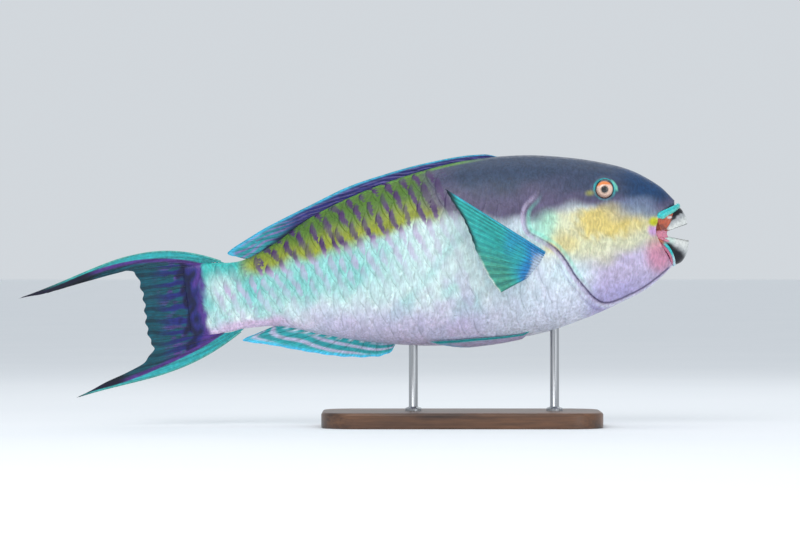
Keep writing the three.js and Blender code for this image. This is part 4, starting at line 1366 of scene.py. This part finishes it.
def paint_tail(across, _, points):
    """Teal web, violet and indigo towards the base, turquoise leading edges and dark tips."""
    x = points[:, 0]
    tone = np.tile(FIN_TEAL, (len(x), 1))
    streak = 0.5 + 0.5 * np.cos(2 * np.pi * across * TAIL["rays"] + 0.6 * wander(points, 24, 41))
    patch = wander(points, 10, 43)
    tone = lay(tone, FIN_NAVY, 0.55 * soft(streak, 0.55, 0.95))
    tone = lay(tone, FIN_INDIGO, 0.9 * soft(streak + 0.25 * patch, 0.35, 0.7) * soft(x, -46, -22))
    tone = lay(tone, FIN_VIOLET, 0.75 * soft(streak, 0.4, 0.05) * soft(x, -42, -26) * soft(patch, -0.3, 0.5))
    tone = lay(tone, FIN_INDIGO, 0.9 * soft(x + 3 * patch, -20, -11))
    tone = lay(tone, FIN_NAVY, 0.75 * soft(x + 4 * patch, -18, -13) * soft(x + 4 * patch, -5, -9))
    tone = lay(tone, FIN_VIOLET, 0.75 * soft(x + 3 * patch, -5, 1))
    for end, fade, reach in ((0.0, -100, 6.4), (1.0, -84, 7.6)):
        lead = edge_distance(points, end)
        width = 1.3 + (reach - 1.3) * soft(x, fade - 8, -18)
        stripe = soft(lead, width + 4.5, width + 2.5)
        tone = lay(tone, FIN_VIOLET * 0.8, stripe)
        tone = lay(tone, FIN_NAVY, 0.95 * soft(x, fade + 16, fade) * soft(lead, 14, 10))
        tone = lay(tone, FIN_TURQUOISE, soft(lead, width + 0.8, width - 0.4) * soft(x, fade - 44, fade - 8))
        tone = lay(tone, GILL_TURQUOISE, 0.6 * soft(lead, 1.4, 0.4) * soft(x, fade - 44, fade - 8))
    return tone


def edge_distance(points, across):
    """Distance in millimetres from the tail fin's leading edge at one end of its span."""
    line = tail_place(np.full(90, across), np.linspace(0, 1, 90))
    away = np.full(len(points), 1e9)
    for dot in line:
        away = np.minimum(away, np.hypot(points[:, 0] - dot[0], points[:, 2] - dot[2]))
    return away


def paint_dorsal(across, along, points):
    """Indigo with lilac streaks, painted shade along its base and an azure edge, turning teal at its rear
    end.
    """
    tone = np.tile(FIN_INDIGO, (len(along), 1))
    streak = soft(np.sin(2 * np.pi * (3 * along - 9 * across) + 1.6 * wander(points, 24, 51)), 0.1, 0.9)
    rear = soft(points[:, 0], 100, 62)
    tone = lay(tone, FIN_LILAC, (0.35 + 0.45 * rear) * streak * soft(along, 0.25, 0.4))
    tone = lay(tone, FIN_TURQUOISE, 0.8 * rear * (1 - streak))
    # painted shade: navy along the base of the fin where it meets the back
    tone = lay(tone, FIN_NAVY, 0.75 * soft(along, 0.34, 0.2))
    return lay(tone, FIN_AZURE, soft(along, 0.8, 0.93))


def paint_anal(across, along, points):
    """Turquoise with lilac streaks, an azure margin and brighter dashes at the rays' bases."""
    tone = np.tile(FIN_TURQUOISE * 1.15, (len(along), 1))
    streak = soft(np.sin(2 * np.pi * (3.2 * along + 2 * across) + 0.5 * wander(points, 20, 61)), -0.1, 0.8)
    tone = lay(tone, BELLY_LILAC, 0.8 * streak * soft(along, 0.22, 0.34) * soft(along, 0.92, 0.78))
    tone = lay(tone, FIN_TEAL, 0.35 * (1 - streak) * soft(along, 0.2, 0.4) * soft(along, 0.9, 0.7))
    dash = soft(np.cos(2 * np.pi * across * ANAL["rays"]), 0.1, -0.5)
    tone = lay(tone, BREAST_WHITE, 0.8 * dash * soft(along, 0.3, 0.22))
    return lay(tone, FIN_AZURE * 1.15, soft(along, 0.82, 0.95))


def paint_pectoral(across, along, points):
    """Teal, blue at the base and greener below, with a dark tip, a painted shadow line along the upper half
    of its free edge and a pale hind margin.
    """
    tone = np.tile(PECTORAL_TEAL, (len(along), 1))
    tone = lay(tone, PECTORAL_GREEN, 0.7 * soft(across, 0.45, 0.8) * soft(along, 0.3, 0.7))
    streak = 0.5 + 0.5 * np.cos(2 * np.pi * across * PECTORAL["rays"])
    tone = lay(tone, FIN_TEAL, 0.5 * streak * soft(along, 0.2, 0.6))
    tone = lay(tone, PECTORAL_BLUE, soft(along + 0.05 * wander(points, 20, 71), 0.56, 0.16))
    fray = soft(along + 0.03 * wander(points, 7, 72) + 0.03 * streak, 0.21, 0.1)
    tone = lay(tone, BREAST_WHITE, 0.8 * fray * soft(across, 0.1, 0.3))
    tone = lay(tone, FIN_AZURE, 0.6 * soft(across, 0.07, 0.02))
    # painted shadow: a dark line along the upper half of the free edge
    tone = lay(tone, FIN_NAVY, 0.9 * soft(along, 0.93, 0.985) * soft(across, 0.75, 0.5))
    tone = lay(tone, FIN_NAVY, 0.8 * soft(along, 0.9, 0.96) * soft(across, 0.16, 0.05))
    return lay(tone, WHITE, 0.7 * soft(along, 0.95, 0.99) * soft(across, 0.6, 0.8))


def paint_pelvic(across, along, _):
    """A turquoise leading ray and a lilac web."""
    tone = np.tile(BELLY_LILAC * 1.1, (len(along), 1))
    streak = soft(np.sin(2 * np.pi * across * PELVIC["rays"] * 2), 0.1, 0.9)
    tone = lay(tone, FIN_TURQUOISE, 0.45 * streak)
    tone = lay(tone, FIN_AZURE, 0.5 * soft(along, 0.85, 0.97))
    return lay(tone, FIN_TURQUOISE, soft(across, 0.24, 0.12))


def dress_fin(piece, paint, darker=1.0):
    """Gives a web or its rays the fin's colours."""
    values = get_vector(piece, "fin")
    set_tone(piece, paint(values[:, 0], values[:, 1], fish_points(piece)) * darker)


def make_fins(web_finish, ray_finish):
    """Each fin's web and its rays: three on the middle line, and two pairs."""
    tree = ray_tree()
    kinds = [
        ("dorsal_fin", DORSAL, midline_place(DORSAL, BACK_LINE, -FIN_SINK), paint_dorsal, "dark_fin"),
        ("anal_fin", ANAL, midline_place(ANAL, BELLY_LINE, FIN_SINK), paint_anal, "turquoise_fin"),
        ("tail_fin", TAIL, tail_place, paint_tail, "dark_fin"),
    ]
    for name, spec, place, paint in (("pectoral_fin", PECTORAL, pectoral_place, paint_pectoral),
                                     ("pelvic_fin", PELVIC, pelvic_place, paint_pelvic)):
        for side, way in SIDES:
            kinds.append((f"{name}_{side}", spec, place(way), paint, "turquoise_fin"))
    for name, spec, place, paint, slot in kinds:
        web, surface = fin_web(name, spec, place)
        dress_fin(web, paint)
        finish_piece(web, web_finish, spec.get("nodes", (name,)))
        rays = fin_rays(name + "_rays", spec, surface, tree, ray_finish)
        dress_fin(rays, paint, RAY_DARKER)
        finish_piece(rays, ray_finish)
        bpy.data.objects.remove(surface)


# Mouth and eyes


def muzzle_line(corner, front, half, turn, bow=0.0):
    """A half-oval line round the muzzle, from the right corner of the mouth over the front."""
    forward = np.sin(turn)
    bowed = 4 * bow * forward * (1 - forward)
    return np.stack([corner[0] + (front[0] - corner[0]) * forward + bowed, -half * np.cos(turn),
                     corner[1] + (front[1] - corner[1]) * forward], -1)


def muzzle_out(corner, front, half, turn):
    """The way straight out from such a line."""
    reach = math.hypot(front[0] - corner[0], front[1] - corner[1])
    forward = half * np.sin(turn)
    out = np.stack([forward * (front[0] - corner[0]) / reach, -reach * np.cos(turn),
                    forward * (front[1] - corner[1]) / reach], -1)
    return out / np.linalg.norm(out, axis=-1, keepdims=True)


def plate_frame(spec, turn):
    """A plate's root and cutting edge at one turn round the muzzle, and the way out."""
    root = muzzle_line(spec["root_corner"], spec["root_front"], spec["root_half"], turn, spec["bow"])
    edge = muzzle_line(spec["edge_corner"], spec["edge_front"], spec["edge_half"], turn)
    out = muzzle_out(spec["root_corner"], spec["root_front"], spec["root_half"], turn)
    return root, edge, out


TEETH = 17
PLATE_SHAPE = [(0, 0), (0.35, 0.95), (0.62, 1.0), (0.86, 0.6), (1, 0)]


def plate_bulge(t):
    """The bow of a plate's outside between its root, 0, and its edge, 1."""
    knots = [k for k, _ in PLATE_SHAPE]
    return smooth_values(knots, [[v] for _, v in PLATE_SHAPE], t)[..., 0]


PLATE_WALK = [(t, 0) for t in np.linspace(0, 1, 26)] + [(t, 1) for t in np.linspace(1, 0, 14)]


def plate_line(spec, turn):
    """The outline of a plate at one turn round the muzzle, up outside and down inside, and a
    note for each point: its share of the way, how far forward, whether inside, its height."""
    root, edge, out = plate_frame(spec, turn)
    height = edge - root
    length = np.linalg.norm(height)
    tooth = abs(math.sin(turn * TEETH))
    low = -spec["sink"] / length
    bulge = spec["bulge"] * math.sin(turn)
    suture = math.exp(-((turn - np.pi / 2) / 0.035) ** 2)
    line = []
    notes = []
    for t, inside in PLATE_WALK:
        top = t * (1 - low) + low + (0.35 / length) * tooth * soft(t, 0.9, 1.0)
        if inside:
            thick = spec["root_thick"] + (spec["edge_thick"] - spec["root_thick"]) * t
            depth = -thick + 0.6 * bulge * soft(t, 0.0, 0.6) * soft(t, 1.05, 0.6)
        else:
            depth = bulge * plate_bulge(np.array(t)) + 0.16 * tooth * soft(t, 0.55, 0.9) - 0.35 * suture
        line.append(root + height * top + out * depth)
        notes.append((t, math.sin(turn), inside, top))
    return line, notes


def paint_plate(spec, notes, points):
    """Ivory towards the cutting edge and black towards the root, with a painted shadow line along the
    cutting edge and painted shade on the inside.
    """
    t, forward, inside, past_root = notes.T
    tone = np.tile(BEAK_IVORY, (len(t), 1))
    if spec is UPPER_BEAK:
        tone = lay(tone, BEAK_GREY, 0.8 * soft(t, 0.92, 0.6))
        dark = soft(t + 0.03 * wander(points, 4, 81), 0.6, 0.5) * soft(forward, 0.32, 0.44)
        tone = lay(tone, BEAK_BLACK, dark)
        tone = lay(tone, FLESH_ORANGE * 0.6, soft(forward, 0.34, 0.2))
    else:
        tone = lay(tone, BEAK_GREY, 0.75 * soft(t, 0.9, 0.6))
        dark = soft(t + 0.02 * wander(points, 6, 82), 0.72, 0.5) * soft(forward, 0.12, 0.35)
        tone = lay(tone, BEAK_BLACK, dark)
        tone = lay(tone, GILL_TURQUOISE, 0.3 * soft(forward, 0.6, 0.3) * soft(t, 0.5, 0.8))
        tone = lay(tone, CHIN_ROSE, soft(past_root, 0.03, -0.05))
    # painted shadow: a thin dark line along the cutting edge
    tone = lay(tone, BEAK_BLACK, 0.5 * soft(t, 0.96, 0.99))
    # painted shade: the inside of the plate darkened towards its root, deep in the mouth
    return lay(tone, MOUTH_DARK, 0.7 * inside * soft(t, 0.9, 0.6))


def make_beak(name, spec, material):
    """One plate of the beak: a bowed blade of fused teeth with a notched cutting edge."""
    lines = [plate_line(spec, turn) for turn in np.linspace(-0.02, np.pi + 0.02, 121)]
    piece = ring_body(name, in_part(np.array([line for line, _ in lines])))
    notes = np.array([note for _, note in lines], float).reshape(-1, 4)
    notes = np.concatenate([notes, notes[:1], notes[-1:]])
    set_tone(piece, paint_plate(spec, notes, fish_points(piece)))
    return finish_piece(piece, material, (name,))


def lip_frame(spec, turn):
    """Centre of a lip at one turn round the muzzle, its two directions and its two radii."""
    root, edge, out = plate_frame(spec, turn)
    down = (edge - root) / np.linalg.norm(edge - root)
    forward = math.sin(turn)
    if spec is UPPER_BEAK:
        lip = UPPER_LIP
        centre = muzzle_line(lip["corner"], lip["front"], lip["half"], turn) + out * 0.5
        swell = 0.4 + 0.6 * float(soft(forward, 0.0, 0.25))
        deep = lip["deep"][0] + (lip["deep"][1] - lip["deep"][0]) * forward
        return centre, out, down, lip["out"] * swell, deep * swell
    swell = 0.6 + 0.4 * forward
    centre = root + out * (spec["lip"] * LIP_FLATNESS + 0.2)
    return centre, out, down, spec["lip"] * LIP_FLATNESS * swell, spec["lip"] * swell


LIP_SIDES = 24


def make_lip(name, spec, material):
    """The fleshy roll outside one plate's root."""
    rings = []
    notes = []
    for turn in np.linspace(0, np.pi, 97):
        centre, out, down, wide, deep = lip_frame(spec, turn)
        crease = 1 + 0.04 * math.sin(turn * 46)
        line = []
        for i in range(LIP_SIDES):
            angle = 2 * np.pi * i / LIP_SIDES
            line.append(centre + out * wide * crease * math.cos(angle) + down * deep * math.sin(angle))
            notes.append((math.sin(turn), math.sin(angle)))
        rings.append(line)
    piece = ring_body(name, in_part(np.array(rings)))
    notes = np.array(notes)
    notes = np.concatenate([notes, notes[:1], notes[-1:]])
    tone = np.tile(LIP_TURQUOISE, (len(notes), 1))
    if spec is UPPER_BEAK:
        tone = lay(tone, CORNER_YELLOW, soft(notes[:, 0], 0.1, 0.02))
        tone = lay(tone, GILL_TURQUOISE, 0.5 * soft(notes[:, 1], -0.2, 0.6))
    else:
        tone = lay(tone, BREAST_WHITE, 0.6 * soft(notes[:, 0], 0.55, 0.8))
        tone = lay(tone, FLESH_ORANGE, 0.95 * soft(notes[:, 0], 0.3, 0.12))
    set_tone(piece, tone)
    return finish_piece(piece, material, (name,))


def side_turn(turn, side):
    """The same place round the muzzle on the fish's right, side 1, or its left, side -1."""
    return turn if side > 0 else np.pi - turn


def upper_fold(side):
    """Loose flesh from the upper lip down over the rear of its plate."""
    rings = []
    for a in np.linspace(0, 1, 48):
        turn = side_turn(0.01 + 0.86 * a, side)
        root, edge, out = plate_frame(UPPER_BEAK, turn)
        top = lip_frame(UPPER_BEAK, turn)[0]
        reach = 1.05 - 0.97 * a ** 0.8
        low = root + (edge - root) * reach
        bulge = UPPER_BEAK["bulge"] * plate_bulge(np.array(max(reach, 0.0))) * math.sin(turn)
        shares = np.linspace(0, 1, 20)
        line = []
        for b in shares:
            fold = 0.3 * math.sin(b * 11 + a * 7)
            lift = (1.3 + fold) * math.sin(np.pi * (0.12 + 0.88 * b)) * (1 - 0.45 * a)
            line.append(top + (low - top) * b + out * (0.3 + bulge * b + lift))
        for b in shares[::-1]:
            line.append(top + (low - top) * b + out * (bulge * b - 1.2))
        rings.append(line)
    return ring_body(f"upper_fold_{side}", in_part(np.array(rings)))


def lower_fold(side):
    """A narrow roll of flesh along the rear of the lower plate."""
    rings = []
    for a in np.linspace(0, 1, 24):
        turn = side_turn(0.5 * a, side)
        root, edge, out = plate_frame(LOWER_BEAK, turn)
        centre = root + (edge - root) * (0.35 + 0.3 * a) + out * 0.9
        radius = 1.9 * (1 - 0.8 * a)
        down = (edge - root) / np.linalg.norm(edge - root)
        rings.append([centre + out * radius * math.cos(t) + down * radius * math.sin(t)
                      for t in np.linspace(0, 2 * np.pi, 16, endpoint=False)])
    return ring_body(f"lower_fold_{side}", in_part(np.array(rings)))


def corner_web(side):
    """The skin that closes the corner of the mouth between the two plates."""
    rings = []
    for x in np.linspace(406, 421.3, 26):
        ahead = (x - 406) / 15.3
        half = 5.6 - 2.8 * ahead
        rings.append([(x - 1.6 * ahead * math.cos(t) ** 2 * (abs(math.sin(t)) < 0.7),
                       -side * (13.6 - 2.4 * ahead + 0.8 * math.cos(t) + 0.25 * math.sin(t * 7)),
                       4.4 - 0.4 * ahead + half * math.sin(t))
                      for t in np.linspace(0, 2 * np.pi, 28, endpoint=False)])
    return ring_body(f"corner_web_{side}", in_part(np.array(rings)))


def make_mouth_flesh(material):
    """Orange folds that join the jaws at each corner of the mouth."""
    pieces = []
    for _, side in SIDES:
        pieces.append(upper_fold(side))
        pieces.append(lower_fold(side))
        pieces.append(corner_web(side))
    piece = join_pieces("mouth_flesh", pieces)
    points = fish_points(piece)
    x, z = points[:, 0], points[:, 2]
    tone = np.tile(FLESH_ORANGE, (len(points), 1))
    tone = lay(tone, MOUTH_DARK, 0.55 * soft(wander(points, 5, 91), 0.1, 1.0))
    # painted shade: the slit at the corner of the mouth darkened as the shaded gap
    tone = lay(tone, MOUTH_DARK, 0.6 * spot(x, z, *SPOTS["mouth_slit_shade"]))
    # painted highlight: a white spot on the fold of flesh by the upper lip
    tone = lay(tone, WHITE, 0.6 * spot(x, z, *SPOTS["painted_fold_highlight"]))
    tone = lay(tone, CHIN_ROSE, 0.9 * soft(z, 9, 6.5))
    set_tone(piece, tone)
    return finish_piece(piece, material)


EYE_SIDES = 72


def paint_eye(points):
    """A cream iris with orange over the pupil, in a dark rim."""
    dx, dz = points[:, 0] - EYE["at"][0], points[:, 2] - EYE["at"][1]
    away = np.hypot(dx, dz)
    turn = np.arctan2(dz, dx)
    tone = np.tile(IRIS_CREAM, (len(away), 1))
    fibres = 0.5 + 0.5 * np.sin(turn * 40 + 3 * wander(points, 3, 95))
    tone = lay(tone, CHIN_ROSE, 0.25 * fibres * soft(away, 3, 6))
    tone = lay(tone, IRIS_ORANGE, 0.95 * soft(dz + 0.25 * away, 4.2, 6.4) * soft(away, 3.6, 4.6))
    tone = lay(tone, MOUTH_DARK, 0.6 * soft(np.abs(away - 3.5), 0.5, 0.15))
    tone = lay(tone, EYE_BLACK, soft(away, EYE["pupil"] + 0.35, EYE["pupil"] - 0.05))
    tone = lay(tone, MOUTH_DARK, 0.7 * soft(away, EYE["iris"] - 0.5, EYE["iris"]))
    return lay(tone, FIN_NAVY, soft(away, EYE["iris"], EYE["iris"] + 0.4))


def make_eyes(material):
    """Each eye: a ball with a sunken pupil, painted with its iris."""
    ex, ez = EYE["at"]
    depth = float(half_width_at(ex, ez)) + EYE["proud"] - EYE["radius"]
    for name, side in SIDES:
        polar = np.concatenate([np.linspace(0.02, 0.95, 60), np.linspace(1.0, np.pi - 0.05, 22)])
        around = np.linspace(0, 2 * np.pi, EYE_SIDES, endpoint=False)
        rings = []
        for angle in polar:
            radius = EYE["radius"] * math.sin(angle)
            out = EYE["radius"] * math.cos(angle)
            out -= 0.35 * float(soft(radius, EYE["pupil"] + 0.35, EYE["pupil"] - 0.35)) * (angle < 1)
            rings.append(np.stack([ex + radius * np.cos(around), np.full(EYE_SIDES, -side * (depth + out)),
                                   ez + radius * np.sin(around)], -1))
        piece = ring_body("eye_" + name, in_part(np.array(rings)))
        set_tone(piece, paint_eye(fish_points(piece)))
        finish_piece(piece, material, ("eye_" + name,))


# Stand

CRISP_ANGLE = math.radians(40)
ROD_SIDES = 48


def make_base(material):
    """A flat walnut base with round corners and a soft upper edge."""
    half_l, half_w, corner = BASE["length"] / 2, BASE["width"] / 2, BASE["corner"]
    bevel = BASE["bevel"]
    profile = [(bevel * 0.35, 0.0), (0.0, bevel * 0.35)]
    for a in np.linspace(0, np.pi / 2, 8):
        profile.append((bevel * (1 - math.cos(a)), BASE["height"] - bevel * (1 - math.sin(a))))
    rings = []
    for inset, height in profile:
        line = []
        for cx, cy, start in ((1, -1, -90), (1, 1, 0), (-1, 1, 90), (-1, -1, 180)):
            for a in np.radians(np.linspace(start, start + 90, 16)):
                line.append((cx * (half_l - corner) + (corner - inset) * math.cos(a),
                             cy * (half_w - corner) + (corner - inset) * math.sin(a), height))
        rings.append(line)
    piece = ring_body("stand_base_wood", np.array(rings) * MM)
    crisp_edges(piece)
    return finish_piece(piece, material, ("stand_base",))


def crisp_edges(piece):
    """Keeps the edges that turn sharply crisp in an otherwise smooth mesh."""
    piece.data.set_sharp_from_angle(angle=CRISP_ANGLE)


def make_rods(material):
    """The two rods, each with a low collar on the base."""
    for name in ("front", "rear"):
        belly = in_part(skin_point(ROD[name], -np.pi / 2, -1.5)) / MM
        low, high = BASE["height"], belly[2]
        r, c = ROD["radius"], ROD["collar"]
        profile = [(c, low), (c, low + 2.0), (c - 0.8, low + 2.8), (r + 0.6, low + 3.4),
                   (r, low + 4.2), (r, high)]
        around = np.linspace(0, 2 * np.pi, ROD_SIDES, endpoint=False)
        rings = [np.stack([belly[0] + radius * np.cos(around), belly[1] + radius * np.sin(around),
                           np.full(ROD_SIDES, height)], -1) for radius, height in profile]
        piece = ring_body(f"stand_{name}_rod", np.array(rings) * MM)
        crisp_edges(piece)
        finish_piece(piece, material, (f"stand_rod_{name}",))


# Studio and camera

PHOTO = {"width": 800, "fish_mm_per_px": 0.894}
CAMERA_LENS = 180.0
SENSOR = 36.0
CAMERA_AIM = (-0.0552, 0.143)
FLOOR_HALF = 40.0


def make_studio():
    """A plain pale floor that reaches to the horizon on every side."""
    line = np.linspace(-FLOOR_HALF, FLOOR_HALF, 9)
    points = [(x, y, 0.0) for y in line for x in line]
    studio = new_piece("studio_floor", points, grid_faces(len(line), len(line)))
    studio.data.materials.append(studio_material())


def add_light(name, place, aim, size, power, colour=(1.0, 1.0, 1.0)):
    """A soft box of light that faces its aim."""
    data = bpy.data.lights.new(name, "AREA")
    data.shape = "RECTANGLE"
    data.size, data.size_y = size
    data.energy = power
    data.color = colour
    lamp = bpy.data.objects.new(name, data)
    bpy.context.scene.collection.objects.link(lamp)
    lamp.location = place
    lamp.rotation_euler = (Vector(aim) - Vector(place)).to_track_quat("-Z", "Y").to_euler()


def make_lights():
    """Four soft boxes round the model, and the pale air of the studio."""
    fish = (0.0, 0.0, 0.14)
    add_light("key_softbox", (-0.5, -1.5, 1.35), fish, (1.3, 1.0), 13.0)
    add_light("fill_softbox", (1.1, -1.7, 0.5), fish, (1.0, 1.0), 4.0, (0.95, 0.98, 1.0))
    add_light("top_softbox", (0.0, 0.15, 1.7), fish, (1.6, 0.9), 4.0)
    add_light("back_softbox", (0.3, 1.2, 1.1), fish, (1.4, 0.5), 2.0)
    world = bpy.data.worlds.new("studio_air")
    world.use_nodes = True
    world.node_tree.nodes["Background"].inputs["Color"].default_value = (0.86, 0.91, 0.96, 1.0)
    world.node_tree.nodes["Background"].inputs["Strength"].default_value = 0.75
    bpy.context.scene.world = world


def make_camera():
    """A camera square to the fish's right side, framed as the photograph is."""
    data = bpy.data.cameras.new("photo_camera")
    data.lens = CAMERA_LENS
    data.sensor_width = SENSOR
    width = PHOTO["width"] * PHOTO["fish_mm_per_px"] * MM
    away = width * CAMERA_LENS / SENSOR
    camera = bpy.data.objects.new("photo_camera", data)
    bpy.context.scene.collection.objects.link(camera)
    camera.location = (CAMERA_AIM[0], -away, CAMERA_AIM[1])
    camera.rotation_euler = (math.pi / 2, 0.0, 0.0)
    bpy.context.scene.camera = camera


def main():
    """Builds the studio and then every piece of the model."""
    make_camera()
    make_studio()
    make_lights()
    skin = make_skin(skin_material())
    make_scales(skin, scale_material())
    make_fins(fin_material(), ray_material())
    flesh = flesh_material()
    enamel = beak_material()
    make_beak("beak_upper", UPPER_BEAK, enamel)
    make_beak("beak_lower", LOWER_BEAK, enamel)
    make_lip("lip_upper", UPPER_BEAK, flesh)
    make_lip("lip_lower", LOWER_BEAK, flesh)
    make_mouth_flesh(flesh)
    make_eyes(eye_material())
    make_base(walnut_material())
    make_rods(steel_material())
    bpy.context.scene.view_settings.view_transform = "Standard"


main()
